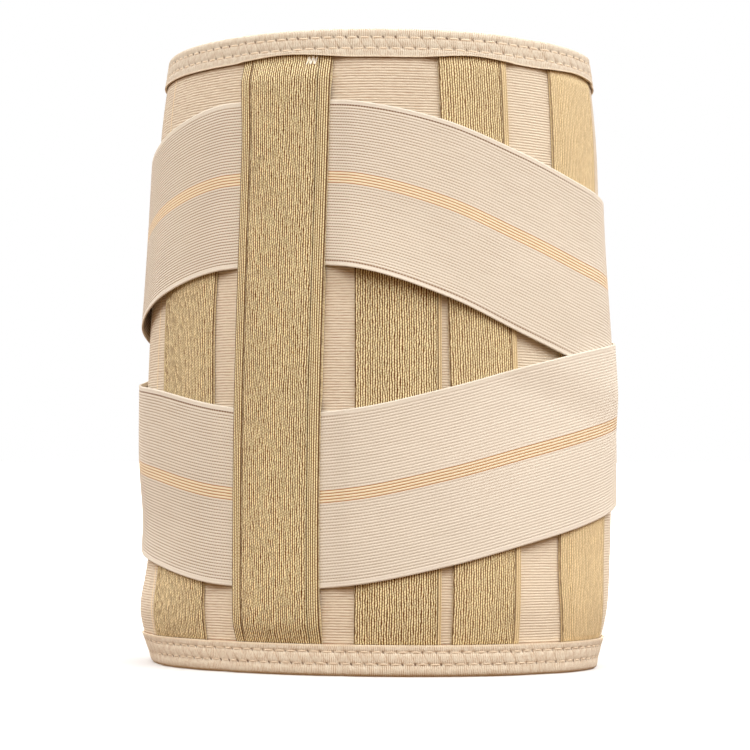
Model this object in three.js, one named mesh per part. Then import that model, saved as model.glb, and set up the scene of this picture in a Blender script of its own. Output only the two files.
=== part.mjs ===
// An elastic support belt for the lower back, closed into an upright oval tube.
// Millimetres, +Z up. The spine is at -Y, the closure at +Y and the wearer's right at +X.
// Every piece is a thin slab: a segmented box whose vertices are carried onto the belt's oval wall.
// A place on that wall is an angle from the spine (degrees, positive towards +X), a height above
// the standing edge and an offset outwards from the panel's outer face.
import * as THREE from 'three';
import { mergeVertices } from 'three/addons/utils/BufferGeometryUtils.js';

// Driving dimensions
const BACK_HEIGHT = 300;
const FRONT_DROP = 12;
const DEPTH_RATIO = 0.8;
const PANEL_WALL = 2;
const GAP = 0.4;

// Half width of the panel's outer face across X, by share of the height
const OVAL_SECTIONS = [
  { share: 0.00, halfWidth: 113.2 },
  { share: 0.05, halfWidth: 115.4 },
  { share: 0.12, halfWidth: 117.8 },
  { share: 0.28, halfWidth: 118.6 },
  { share: 0.50, halfWidth: 116.9 },
  { share: 0.75, halfWidth: 112.3 },
  { share: 0.92, halfWidth: 109.2 },
  { share: 1.00, halfWidth: 106.3 },
];

// Where the wall is fuller, or slimmer, than its oval: the middle and the reach of each swelling
const SWELLINGS = [
  { angle: -63, angleReach: 34, height: 23, heightReach: 17, size: 4.4 },
  { angle: -63, angleReach: 34, height: 69, heightReach: 21, size: -2.2 },
  { angle: -63, angleReach: 34, height: 240, heightReach: 50, size: 0.6 },
  { angle: -63, angleReach: 34, height: 292, heightReach: 22, size: -1.4 },
  { angle: 109, angleReach: 34, height: 248, heightReach: 32, size: 1.2 },
  { angle: 109, angleReach: 34, height: 112, heightReach: 45, size: 1.0 },
  { angle: 109, angleReach: 30, height: 2, heightReach: 14, size: -2.6 },
];

// Heights, as shares, at which the panel and the covers on it are cut into rows
const HEIGHT_SHARES = [0, 0.05, 0.08, 0.12, 0.2, 0.28, 0.39, 0.5, 0.62, 0.75, 0.84, 0.92, 1];

// The panel's two ends overlap at the front: one steps inwards and the other outwards
const PANEL_START = -189;
const PANEL_END = 196;
const PANEL_STEPS = 53;
const FRONT_STEP = 3.6;
const STEP_STARTS = 135;
const STEP_ENDS = 158;

// Trims folded over the top and bottom edges
const TRIM_THICKNESS = 1.2;
const TRIM_OUTER_OFFSET = 2.2;
const TOP_TRIM_HEIGHT = 13.5;
const BOTTOM_TRIM_HEIGHT = 14.5;
const TRIM_INSIDE_SHORTER = 1.5;
const TRIM_CORNER = 1.6;

// Woven stay covers: thin hems, a stitched groove beside each and a raised channel between
const COVER_SECTION = [
  { share: 0.00, thickness: 1.0 },
  { share: 0.08, thickness: 1.3 },
  { share: 0.13, thickness: 0.9 },
  { share: 0.20, thickness: 1.5 },
  { share: 0.50, thickness: 1.6 },
];
const COVER_PRESSED = 0.8;
const COVER_END_INSET = 4;
const PRESSED_STRETCH = 14;
const UNPRESSED_STRETCH = 17;
const SPINE_COVER_FULL = 24;

// Angles are those of the cover's middle line at its two ends, widths are along the wall. A sway takes
// the middle line aside by an angle round one height
const STAY_COVERS = [
  {
    name: 'left_stay_cover', lowAngle: -33.4, highAngle: -28.4, width: 42, topHeight: 212,
    sway: { angle: 2, height: 115, reach: 40 },
  },
  { name: 'right_stay_cover', lowAngle: 28.4, highAngle: 28.8, width: 40, topHeight: 212 },
  { name: 'outer_right_stay_cover', lowAngle: 50.5, highAngle: 48.7, width: 32.5 },
  {
    name: 'side_right_stay_cover', lowAngle: 81.4, highAngle: 86.2, width: 37,
    sway: { angle: 5.4, height: 0, reach: 32 },
  },
];
const SPINE_COVER = { lowAngle: -1, highAngle: 0.2, width: 46 };

// Low and high edge of the straps on each side, by angle from the spine
const UPPER_STRAP_ROWS = [
  { angle: 0, left: [190.5, 268.5], right: [190.5, 267.5] },
  { angle: 20, left: [187.6, 267], right: [187.3, 265] },
  { angle: 40, left: [178.5, 258.7], right: [174.3, 256.5] },
  { angle: 60, left: [166, 247.5], right: [157.2, 243] },
  { angle: 80, left: [156.5, 237.5], right: [144.5, 231] },
  { angle: 100, left: [145.5, 227], right: [138, 223.5] },
  { angle: 120, left: [132, 216], right: [131, 214] },
  { angle: 140, left: [123, 204], right: [123, 203] },
  { angle: 160, left: [115, 194], right: [115, 194] },
  { angle: 180, left: [112, 190], right: [112, 190] },
];
const LOWER_STRAP_ROWS = [
  { angle: 0, left: [38.5, 120], right: [38.5, 120] },
  { angle: 20, left: [41.8, 126.2], right: [42.3, 123.6] },
  { angle: 40, left: [48.5, 133], right: [50.6, 132.5] },
  { angle: 60, left: [54.5, 136], right: [60.4, 142.5] },
  { angle: 80, left: [62.5, 139.5], right: [68.8, 150] },
  { angle: 100, left: [72.5, 150], right: [76.7, 154.5] },
  { angle: 120, left: [84, 163], right: [86, 158] },
  { angle: 140, left: [97, 176], right: [97, 172] },
  { angle: 160, left: [110, 190], right: [110, 190] },
  { angle: 180, left: [112, 190], right: [112, 190] },
];

// The edge of a strap that faces the other strap of its side stands off the panel between two angles
const STRAPS = [
  { name: 'upper_left_strap', upper: true, side: 'left', flare: { depth: 1.0, from: 18, to: 84 } },
  { name: 'upper_right_strap', upper: true, side: 'right', flare: { depth: 3.4, from: 18, to: 66 } },
  { name: 'lower_left_strap', upper: false, side: 'left', flare: { depth: 1.2, from: 18, to: 80 } },
  { name: 'lower_right_strap', upper: false, side: 'right', flare: { depth: 0.8, from: 18, to: 60 } },
];
const STRAP_THICKNESS = 1.3;
const STRAP_FIRST_ANGLES = [2, 8, 13, 18.5];
const STRAP_LAST_ANGLE = 172;
const STRAP_STEPS = 28;
const UPPER_ROWS_ACROSS = 5;
const LOWER_ROWS_ACROSS = 6;

// Straps lie on the panel under the spine cover, climb over the other covers and settle past the last
const RIDE_AT_SPINE = GAP;
const RIDE_OVER_COVERS = 2.4;
const CLIMB_STARTS = 13;
const CLIMB_ENDS = 18;
const SETTLING = { drop: 1.6, from: 100, full: 108, until: 122, end: 135 };

// A lower strap climbs over the upper one just before it reaches the upper one's low edge
const CROSSING_RAMP = 24;
const CROSSING_LEAD = 4;

// The spine cover's underside lifts this far clear of the strap ends, over a short ramp
const STRAP_END_CLEARANCE = 3;
const STRAP_END_RAMP = 4;

// Plain pad that holds the strap ends at the front
const PAD = { startAngle: 157, endAngle: 203, low: 100, high: 202, corner: 16, thickness: 2 };
const PAD_STEPS = 9;
const PAD_CORNER_SHARES = [0, 0.08, 0.3, 0.6, 1];

const WELD_DISTANCE = 1e-4;

const fabric = (color, roughness) => new THREE.MeshStandardMaterial({ color, roughness, metalness: 0 });

const ease = (from, to, value) => THREE.MathUtils.smoothstep(value, from, to);

const evenSteps = (from, to, count) =>
  Array.from({ length: count + 1 }, (_, i) => from + ((to - from) * i) / count);

/** Smooth curve through a table's rows: cubic pieces whose slopes come from the neighbouring rows. */
function curveThrough(rows, key, read, at) {
  const last = rows.length - 1;
  const clamped = THREE.MathUtils.clamp(at, rows[0][key], rows[last][key]);
  const found = rows.findIndex((row, i) => i > 0 && clamped <= row[key]);
  const slope = (i) => {
    const before = rows[Math.max(i - 1, 0)];
    const after = rows[Math.min(i + 1, last)];
    return (read(after) - read(before)) / (after[key] - before[key]);
  };
  const [left, right] = [rows[found - 1], rows[found]];
  const span = right[key] - left[key];
  const s = (clamped - left[key]) / span;
  const fromLeft = (1 + 2 * s) * (1 - s) ** 2 * read(left) + s * (1 - s) ** 2 * span * slope(found - 1);
  const fromRight = s ** 2 * (3 - 2 * s) * read(right) + s ** 2 * (s - 1) * span * slope(found);
  return fromLeft + fromRight;
}

const halfWidthAt = (height) =>
  curveThrough(OVAL_SECTIONS, 'share', (row) => row.halfWidth, height / BACK_HEIGHT);

/** Height of the finished top edge: highest at the spine and lowest at the front. */
const topEdgeAt = (angle) =>
  BACK_HEIGHT - (FRONT_DROP / 2) * (1 - Math.cos(THREE.MathUtils.degToRad(angle)));

const bell = (value, middle, reach) => Math.exp(-(((value - middle) / reach) ** 2));

/** How much fuller than its oval the wall is: the sum of the bell-shaped swellings. */
const fullnessAt = (angle, height) =>
  SWELLINGS.reduce(
    (sum, { size, ...at }) =>
      sum + size * bell(angle, at.angle, at.angleReach) * bell(height, at.height, at.heightReach),
    0,
  );

/** Point of the wall: an ellipse at that height, moved out by its fullness and an offset. */
function onWall(angle, height, offset) {
  const turn = THREE.MathUtils.degToRad(angle);
  const a = halfWidthAt(height);
  const b = a * DEPTH_RATIO;
  const normal = new THREE.Vector2(b * Math.sin(turn), -a * Math.cos(turn)).normalize();
  const out = fullnessAt(angle, height) + offset;
  return new THREE.Vector3(
    a * Math.sin(turn) + out * normal.x,
    -b * Math.cos(turn) + out * normal.y,
    height,
  );
}

/** Angle, in degrees, that a length of the wall takes up at a given angle and height. */
function degreesFor(length, angle, height) {
  const turn = THREE.MathUtils.degToRad(angle);
  const perRadian = halfWidthAt(height) * Math.hypot(Math.cos(turn), DEPTH_RATIO * Math.sin(turn));
  return THREE.MathUtils.radToDeg(length / perRadian);
}

/** How far the panel steps in or out where its two ends overlap at the front. */
const frontStep = (angle) => Math.sign(angle) * FRONT_STEP * ease(STEP_STARTS, STEP_ENDS, Math.abs(angle));

/**
 * A closed slab: a box cut into cells, with one column per station along and one row per station
 * across. place(along, across, outside) gives the point for each corner of the cells.
 */
function slab(name, material, alongs, acrosses, place) {
  const box = new THREE.BoxGeometry(1, 1, 1, alongs.length - 1, acrosses.length - 1, 1);
  box.deleteAttribute('normal');
  box.deleteAttribute('uv');
  box.clearGroups();
  const position = box.getAttribute('position');
  for (let i = 0; i < position.count; i += 1) {
    const along = alongs[Math.round((position.getX(i) + 0.5) * (alongs.length - 1))];
    const across = acrosses[Math.round((position.getY(i) + 0.5) * (acrosses.length - 1))];
    const point = place(along, across, position.getZ(i) > 0);
    position.setXYZ(i, point.x, point.y, point.z);
  }
  const solid = mergeVertices(box, WELD_DISTANCE);
  solid.computeVertexNormals();
  const mesh = new THREE.Mesh(solid, material);
  mesh.name = name;
  return mesh;
}

/** The elastic panel, with both long edges inside the folds of the trims. */
function bodyPanel() {
  const edgeInset = TRIM_THICKNESS + GAP;
  const stations = evenSteps(PANEL_START, PANEL_END, PANEL_STEPS);
  return slab('body_panel', fabric(0xdec8ac, 0.9), stations, HEIGHT_SHARES, (angle, share, outside) => {
    const height = THREE.MathUtils.lerp(edgeInset, topEdgeAt(angle) - edgeInset, share);
    return onWall(angle, height, frontStep(angle) - (outside ? 0 : PANEL_WALL));
  });
}

/**
 * Fold of a trim, seen along the edge: down the outside leg, across the edge and along the inside
 * leg. Each point has an offset, a distance from the edge and the mitre that keeps the thickness.
 */
function trimFold(outsideLeg, insideLeg) {
  const half = TRIM_THICKNESS / 2;
  const inner = -PANEL_WALL - GAP - half;
  const path = [
    new THREE.Vector2(TRIM_OUTER_OFFSET, outsideLeg),
    new THREE.Vector2(TRIM_OUTER_OFFSET, half + TRIM_CORNER),
    new THREE.Vector2(TRIM_OUTER_OFFSET - TRIM_CORNER / 2, half),
    new THREE.Vector2(inner + TRIM_CORNER / 2, half),
    new THREE.Vector2(inner, half + TRIM_CORNER),
    new THREE.Vector2(inner, insideLeg),
  ];
  const last = path.length - 1;
  const direction = (from, to) => new THREE.Vector2().subVectors(path[to], path[from]).normalize();
  return path.map((point, i) => {
    const into = i > 0 ? direction(i - 1, i) : direction(0, 1);
    const onward = i < last ? direction(i, i + 1) : direction(last - 1, last);
    const mitre = new THREE.Vector2(-into.y - onward.y, into.x + onward.x).normalize();
    mitre.multiplyScalar(half / Math.cos(into.angleTo(onward) / 2));
    return { point, mitre };
  });
}

/** A trim folded over one edge of the panel, all the way round. */
function trim(name, legHeight, isTop) {
  const fold = trimFold(legHeight, legHeight - TRIM_INSIDE_SHORTER);
  const order = isTop ? fold : [...fold].reverse();
  const stations = evenSteps(PANEL_START, PANEL_END, PANEL_STEPS);
  const indices = order.map((_, i) => i);
  return slab(name, fabric(0xe6d2b6, 0.85), stations, indices, (angle, index, outside) => {
    const { point, mitre } = order[index];
    const corner = outside ? point.clone().add(mitre) : point.clone().sub(mitre);
    const height = isTop ? topEdgeAt(angle) - corner.y : corner.y;
    return onWall(angle, height, frontStep(angle) + corner.x);
  });
}

/** Stations across a stay cover: the half section and its mirror image. */
const coverStations = () => {
  const half = COVER_SECTION.map((row) => row.share);
  const mirrored = half.slice(0, -1).map((share) => 1 - share);
  return [...half, ...mirrored.reverse()];
};

const coverThickness = (share) => {
  const fromEdge = Math.min(share, 1 - share);
  return COVER_SECTION.find((row) => fromEdge <= row.share + WELD_DISTANCE).thickness;
};

/** Angle of a point of a cover: the middle line leans from its low to its high angle, with its sway. */
function coverAngle(cover, share, height) {
  const { lowAngle, highAngle, sway } = cover;
  const line = THREE.MathUtils.lerp(lowAngle, highAngle, height / BACK_HEIGHT);
  const middle = line + (sway ? sway.angle * bell(height, sway.height, sway.reach) : 0);
  return middle + degreesFor(cover.width * (share - 0.5), middle, height);
}

/** A cover's heights from end to end: close together where the trims press it flat. */
function coverHeights(cover, angle) {
  const edge = topEdgeAt(angle);
  const atTrim = (stretch) => [COVER_END_INSET, PRESSED_STRETCH, UNPRESSED_STRETCH].map(stretch);
  const lowEnd = atTrim((inset) => inset);
  const highEnd = cover.topHeight ? [cover.topHeight] : atTrim((inset) => edge - inset).reverse();
  const clear = COVER_END_INSET;
  const between = HEIGHT_SHARES.map((share) => share * BACK_HEIGHT).filter(
    (height) => height > lowEnd.at(-1) + clear && height < highEnd[0] - clear,
  );
  return [...lowEnd, ...between, ...highEnd];
}

/** Share of its full height that a cover has regained at a distance from the trims. */
const regained = (height, topEdge, full) =>
  Math.min(ease(PRESSED_STRETCH, full, height), ease(PRESSED_STRETCH, full, topEdge - height));

/** Thickness of a cover: its own section, or what is left where a trim presses it. */
function pressedThickness(share, height, topEdge) {
  const thickness = coverThickness(share);
  const least = Math.min(thickness, COVER_PRESSED);
  return THREE.MathUtils.lerp(least, thickness, regained(height, topEdge, UNPRESSED_STRETCH));
}

/** A woven cover sewn flat on the panel. */
function stayCover(cover) {
  const heights = coverHeights(cover, cover.highAngle);
  return slab(cover.name, fabric(0xc6a978, 0.75), coverStations(), heights, (share, height, outside) => {
    const angle = coverAngle(cover, share, height);
    const thickness = pressedThickness(share, height, topEdgeAt(angle));
    return onWall(angle, height, GAP + (outside ? thickness : 0));
  });
}

/** Bands of height where strap ends lie under the spine cover, with the clearance it keeps to them. */
const strapEndBands = () =>
  [LOWER_STRAP_ROWS, UPPER_STRAP_ROWS].map(([{ left: [low, high] }]) => ({
    low: low - STRAP_END_CLEARANCE,
    high: high + STRAP_END_CLEARANCE,
  }));

/** Lift of the spine cover's underside: 1 over the strap ends and 0 where it meets the panel. */
function overStrapEnds(height) {
  const lifts = strapEndBands().map(({ low, high }) =>
    Math.min(ease(low - STRAP_END_RAMP, low, height), 1 - ease(high, high + STRAP_END_RAMP, height)),
  );
  return Math.max(...lifts);
}

/** The spine cover: its face runs straight and its underside follows the straps and the panel. */
function spineCover() {
  const ride = RIDE_AT_SPINE + STRAP_THICKNESS;
  const ramps = strapEndBands().flatMap(({ low, high }) => [
    low - STRAP_END_RAMP,
    low,
    high,
    high + STRAP_END_RAMP,
  ]);
  const heights = [...coverHeights(SPINE_COVER, 0), ...ramps].sort((p, q) => p - q);
  const place = (share, height, outside) => {
    const angle = coverAngle(SPINE_COVER, share, height);
    const topEdge = topEdgeAt(angle);
    const raised = ride * regained(height, topEdge, SPINE_COVER_FULL);
    const face = raised + pressedThickness(share, height, topEdge);
    const underside = ride * overStrapEnds(height);
    return onWall(angle, height, GAP + (outside ? face : underside));
  };
  return slab('spine_stay_cover', fabric(0xc6a978, 0.75), coverStations(), heights, place);
}

/** Heights of a strap's low and high edge at an angle. */
function strapEdges(upper, side, angle) {
  const rows = upper ? UPPER_STRAP_ROWS : LOWER_STRAP_ROWS;
  return [0, 1].map((edge) => curveThrough(rows, 'angle', (row) => row[side][edge], angle));
}

/** How far a strap's inner face rides off the panel before flares and crossings. */
function strapRide(angle) {
  const climb = (RIDE_OVER_COVERS - RIDE_AT_SPINE) * ease(CLIMB_STARTS, CLIMB_ENDS, angle);
  const settled = ease(SETTLING.from, SETTLING.full, angle) - ease(SETTLING.until, SETTLING.end, angle);
  const step = FRONT_STEP * ease(STEP_STARTS, STEP_ENDS, angle);
  return RIDE_AT_SPINE + climb - SETTLING.drop * settled + step;
}

/** Stand-off of a strap's free edge, greatest half way along the flare and zero at its ends. */
function flareAt({ upper, flare }, angle, share) {
  const along = THREE.MathUtils.clamp((angle - flare.from) / (flare.to - flare.from), 0, 1);
  const nearEdge = upper ? 1 - share : share;
  return flare.depth * Math.sin(Math.PI * along) ** 2 * nearEdge ** 3;
}

/** Lift of a lower strap where it lies over the upper strap of its side. */
function crossingLift(side, angle, height) {
  const [upperLow] = strapEdges(true, side, angle);
  const full = upperLow - CROSSING_LEAD;
  return (STRAP_THICKNESS + GAP) * ease(full - CROSSING_RAMP, full, height);
}

/** An elastic strap from under the spine cover to under the front pad. */
function strap(row) {
  const evenAngles = evenSteps(STRAP_FIRST_ANGLES.at(-1), STRAP_LAST_ANGLE, STRAP_STEPS).slice(1);
  const turn = row.side === 'left' ? -1 : 1;
  const angles = [...STRAP_FIRST_ANGLES, ...evenAngles].map((angle) => turn * angle).sort((p, q) => p - q);
  const shares = evenSteps(0, 1, row.upper ? UPPER_ROWS_ACROSS : LOWER_ROWS_ACROSS);
  return slab(row.name, fabric(0xe4d0b6, 0.85), angles, shares, (signedAngle, share, outside) => {
    const angle = Math.abs(signedAngle);
    const height = THREE.MathUtils.lerp(...strapEdges(row.upper, row.side, angle), share);
    const lift = row.upper ? 0 : crossingLift(row.side, angle, height);
    const offset = strapRide(angle) + flareAt(row, angle, share) + lift;
    return onWall(signedAngle, height, offset + (outside ? STRAP_THICKNESS : 0));
  });
}

/** The plain pad over the strap ends, with rounded corners. */
function frontPad() {
  const ride = RIDE_OVER_COVERS + FRONT_STEP + 2 * (STRAP_THICKNESS + GAP);
  const middle = (PAD.startAngle + PAD.endAngle) / 2;
  const cornerRises = PAD_CORNER_SHARES.map((share) => share * PAD.corner);
  const heights = [
    ...cornerRises.map((rise) => PAD.low + rise),
    (PAD.low + PAD.high) / 2,
    ...cornerRises.map((rise) => PAD.high - rise).reverse(),
  ];
  const alongs = evenSteps(-1, 1, PAD_STEPS);
  return slab('front_closure_pad', fabric(0xdcc6a8, 0.9), alongs, heights, (along, height, outside) => {
    const intoCorner = Math.max(0, PAD.corner - Math.min(height - PAD.low, PAD.high - height));
    const inset = PAD.corner - Math.sqrt(PAD.corner ** 2 - intoCorner ** 2);
    const halfAngle = (PAD.endAngle - PAD.startAngle) / 2 - degreesFor(inset, middle, height);
    return onWall(middle + along * halfAngle, height, ride + (outside ? PAD.thickness : 0));
  });
}

const belt = new THREE.Group();
belt.name = 'elastic_support_belt';
belt.add(
  bodyPanel(),
  trim('top_binding', TOP_TRIM_HEIGHT, true),
  trim('bottom_binding', BOTTOM_TRIM_HEIGHT, false),
  spineCover(),
  ...STAY_COVERS.map(stayCover),
  ...STRAPS.map(strap),
  frontPad(),
);

// The origin is the middle of the underside of the belt's box
const box = new THREE.Box3().setFromObject(belt);
const centre = box.getCenter(new THREE.Vector3());
belt.position.set(-centre.x, -centre.y, -box.min.z);

export default belt;
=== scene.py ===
"""Visual model of an elastic support belt for the lower back, laid out as a Blender add-on.

Every piece is a slab of cloth on the belt's oval wall. A place on that wall is an angle from the
spine in degrees, positive towards +X, a height above the standing edge, and an offset outwards from
the panel's outer face. Lengths are in metres, and values written in millimetres are scaled by MM.
"""

import math

import bpy
import numpy as np
from bpy.props import FloatProperty, FloatVectorProperty, IntProperty, PointerProperty
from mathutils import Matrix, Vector


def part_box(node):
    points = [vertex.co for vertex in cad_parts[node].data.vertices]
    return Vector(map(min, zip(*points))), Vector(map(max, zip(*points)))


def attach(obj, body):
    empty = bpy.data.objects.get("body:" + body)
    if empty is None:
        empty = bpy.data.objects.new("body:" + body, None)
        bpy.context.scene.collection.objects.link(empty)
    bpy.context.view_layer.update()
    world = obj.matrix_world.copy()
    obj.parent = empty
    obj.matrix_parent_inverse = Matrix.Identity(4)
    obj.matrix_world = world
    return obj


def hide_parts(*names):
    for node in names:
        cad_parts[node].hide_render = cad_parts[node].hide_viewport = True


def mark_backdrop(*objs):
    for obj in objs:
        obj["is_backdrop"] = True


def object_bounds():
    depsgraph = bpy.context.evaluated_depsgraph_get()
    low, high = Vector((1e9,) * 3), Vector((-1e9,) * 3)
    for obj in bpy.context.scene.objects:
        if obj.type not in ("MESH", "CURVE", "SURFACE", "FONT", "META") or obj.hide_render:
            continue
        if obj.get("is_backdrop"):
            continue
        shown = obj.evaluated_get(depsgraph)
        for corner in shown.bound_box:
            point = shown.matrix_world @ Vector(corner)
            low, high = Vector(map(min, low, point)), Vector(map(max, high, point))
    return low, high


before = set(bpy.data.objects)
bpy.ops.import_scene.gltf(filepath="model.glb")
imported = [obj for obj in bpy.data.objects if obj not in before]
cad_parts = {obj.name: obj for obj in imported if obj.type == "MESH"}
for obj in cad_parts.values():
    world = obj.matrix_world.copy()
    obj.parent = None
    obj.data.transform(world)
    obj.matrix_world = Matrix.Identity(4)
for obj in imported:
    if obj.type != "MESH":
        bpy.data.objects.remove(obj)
CAD_BOX = [list(corner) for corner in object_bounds()]

bl_info = {
    "name": "Elastic Support Belt",
    "version": (1, 0, 0),
    "blender": (4, 5, 0),
    "location": "3D View > Sidebar > Support Belt",
    "description": "Builds the cloth pieces of an elastic support belt around its CAD frame",
    "category": "Object",
}

MM = 0.001
FLAT_MAP = "cloth"
# The mark of sewn grooves, also of painted shadow lines at the covers' edges and under the trims' free edges
GROOVE_AND_SHADOW_MARK = "groove"
HEM_NAME = "hem"
BODY = "root"

# The oval wall, as in the CAD model: half width across X by share of the height
HEIGHT = CAD_BOX[1][2]
FRONT_DROP = 12 * MM
DEPTH_RATIO = 0.8
PANEL_WALL = 2 * MM
GAP = 0.4 * MM
OVAL_SHARES = np.array([0, 0.05, 0.12, 0.28, 0.50, 0.75, 0.92, 1])
OVAL_HALF_WIDTHS = np.array([113.2, 115.4, 117.8, 118.6, 116.9, 112.3, 109.2, 106.3]) * MM

# Where the wall is fuller, or slimmer, than its oval: each swelling's angle and reach in degrees, its
# height and reach, and its size
SWELLINGS = (
    (-63, 34, 23 * MM, 17 * MM, 4.4 * MM),
    (-63, 34, 69 * MM, 21 * MM, -2.2 * MM),
    (-63, 34, 240 * MM, 50 * MM, 0.6 * MM),
    (-63, 34, 292 * MM, 22 * MM, -1.4 * MM),
    (109, 34, 248 * MM, 32 * MM, 1.2 * MM),
    (109, 34, 112 * MM, 45 * MM, 1.0 * MM),
    (109, 30, 2 * MM, 14 * MM, -2.6 * MM),
)

# The CAD model is moved so that its box is centred: the front pad, which is even about the middle, and
# the panel's widest section at the spine give the oval's centre back
PAD_BOX_LOW, PAD_BOX_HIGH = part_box("front_closure_pad")
PANEL_BOX_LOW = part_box("body_panel")[0]
CENTRE_X = (PAD_BOX_LOW.x + PAD_BOX_HIGH.x) / 2
CENTRE_Y = PANEL_BOX_LOW.y + DEPTH_RATIO * OVAL_HALF_WIDTHS.max()

# The panel's two ends overlap at the front: one steps inwards and the other outwards
PANEL_START = -189
PANEL_END = 196
FRONT_STEP = 3.6 * MM
STEP_STARTS = 135
STEP_ENDS = 158

# A trim's section: its cloth, the offsets of its outside and inside faces, and the height and squareness of
# its roll. It settles onto the panel beside the covers, and a thin dark line of painted shadow lies under
# its free edge
TRIM_THICKNESS = 1.2 * MM
TRIM_FACE = 2.8 * MM
TRIM_BACK = -3.6 * MM
TRIM_ROLL = 2.6 * MM
TRIM_SQUARENESS = 3
TRIM_SETTLES = 1.5 * MM
TRIM_COVER_RAMP = 4
TRIM_SHADOW_HALF_WIDTH = 0.45 * MM
TRIM_SHADOW_DARKNESS = 0.6
TRIM_INSIDE_SHORTER = 1.5 * MM

# Distances from the finished edge: the outside leg's free edge and the two rows of stitches. The creases
# lean by a share of a stitch from row to row, and the tone is painted light: it makes a trim's cloth
# lighter or darker to even out how light reaches it, lighter on the bottom trim, which faces a little down
TRIMS = (
    {"node": "top_binding", "top": True, "edge": HEIGHT, "leg": 13.5 * MM,
     "rows": (4.2 * MM, 9.3 * MM), "lean": -0.5, "tone": 0.97, "seed": 11},
    {"node": "bottom_binding", "top": False, "edge": 0.0, "leg": 14.5 * MM,
     "rows": (5.5 * MM, 11.1 * MM), "lean": 0.5, "tone": 1.19, "seed": 12},
)

# How the sewing shapes a trim: half widths of a row, a needle hole and a crease, and soft unevenness. The
# dark of a hole has its own half height, and a stitch is as long as nine of its half widths
ROW_HALF_WIDTH = 0.9 * MM
HOLE_HALF_WIDTH = 0.65 * MM
HOLE_HALF_HEIGHT = 0.95 * MM
HOLE_WIDTHS_IN_A_STITCH = 9.0
CREASE_HALF_WIDTH = 0.8 * MM
TRIM_SOFTNESS = 0.15 * MM
TRIM_SOFT_WAVE = 14 * MM
TRIM_EDGE_WAVER = 0.25 * MM
TRIM_EDGE_WAVE = 30 * MM

# A stitch's thread: the share left free at each hole, how far it bows aside, arches up and dips in
STITCH_GAP = 0.06
STITCH_BOW = 0.15 * MM
STITCH_ARCH = 0.6 * MM
STITCH_DIP = 0.45 * MM

# The panel's edges stop short of the folds, its ribs waver, and its thin seam stands up a little
PANEL_INSET = TRIM_THICKNESS + 2.5 * GAP
PANEL_WAVER = 0.25 * MM
PANEL_WAVE = 40 * MM
SEAM_RISE = 0.25 * MM

# Where thick covers push the free edge of the top trim up: angle, half width in degrees and rise
TRIM_RISES = ((0.2, 11.5, 2.0 * MM), (48.7, 9.5, 1.9 * MM), (86.2, 11, 1.2 * MM))

# Half section of a stay cover, from its edge to its middle
COVER_SHARES = np.array([0, 0.08, 0.13, 0.20, 0.50])
COVER_THICKNESSES = np.array([1.0, 1.3, 0.9, 1.5, 1.6]) * MM
COVER_PRESSED = 0.8 * MM
COVER_END_INSET = 4 * MM
PRESSED_STRETCH = 14 * MM
UNPRESSED_STRETCH = 17 * MM
SPINE_COVER_FULL = 24 * MM
COVER_EDGE_DROP = 0.15 * COVER_PRESSED
GROOVE_HALF_WIDTH = 0.3 * MM
GROOVE_DEPTH = 0.25 * MM
HEM_RAMP = 0.3 * MM

# A weave's valleys are uneven in streaks and its wales waver, in waves that are longer along the cover by a
# share. Its floats dip by a share of the valleys' depth
WALE_UNEVENNESS = 0.5
WALE_WAVE = 6 * MM
WALE_STREAK = 0.25
WAVER_WAVE = 9 * MM
WAVER_STREAK = 0.4
FLOAT_SHARE = 0.2

# What is added to a piece's seed for its second unevenness
SEED_STEP = 50

# Angles are those of a cover's middle line at the belt's lower and upper edges, before its sway, which
# takes the line aside by an angle round one height, over a reach. Grooves are dark lines, as distances from
# the left edge or, where negative, from the right one: those a few tenths of a millimetre from an edge are
# painted contact shadow beside that edge, and the others are sewn lines. pale is how pale the hems outside
# them are, and calm is how smooth the weave lies
STAY_COVERS = (
    {"node": "left_stay_cover", "seed": 21, "low": -33.4, "high": -28.4, "width": 42 * MM, "top": 212 * MM,
     "sway": (2, 115 * MM, 40 * MM), "grooves_and_shadow_lines": (1.7 * MM, -0.25 * MM), "pale": 0.4, "calm": 0.06},
    {"node": "right_stay_cover", "seed": 22, "low": 28.4, "high": 28.8, "width": 40 * MM, "top": 212 * MM,
     "sway": None, "grooves_and_shadow_lines": (0.25 * MM, -1.8 * MM), "pale": 0.55, "calm": 0.0},
    {"node": "outer_right_stay_cover", "seed": 23, "low": 50.5, "high": 48.7, "width": 32.5 * MM,
     "top": None, "sway": None, "grooves_and_shadow_lines": (0.25 * MM, -3.0 * MM), "pale": 0.55, "calm": 0.1},
    {"node": "side_right_stay_cover", "seed": 24, "low": 81.4, "high": 86.2, "width": 37 * MM, "top": None,
     "sway": (5.4, 0.0, 32 * MM), "grooves_and_shadow_lines": (0.3 * MM, -1.2 * MM), "pale": 0.4, "calm": 0.53},
)
SPINE_COVER = {"node": "spine_stay_cover", "low": -1, "high": 0.2, "width": 46 * MM, "top": None,
               "sway": None, "grooves_and_shadow_lines": (0.2 * MM, 5.4 * MM, -6.2 * MM, -0.2 * MM),
               "pale": 0.0, "calm": 0.0, "seed": 25}

# The spine cover's left edge spreads under the top trim
SPREAD = {"width": 2.2 * MM, "from": 245 * MM, "full": 290 * MM}

# A zigzag of white thread on the spine cover, just under the top trim
TACK = {"left": 34 * MM, "width": 4.8 * MM, "low": 283.6 * MM, "height": 3.6 * MM, "strokes": 5}
TACK_RADIUS = 0.3 * MM
SAMPLES_PER_STROKE = 12

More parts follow.
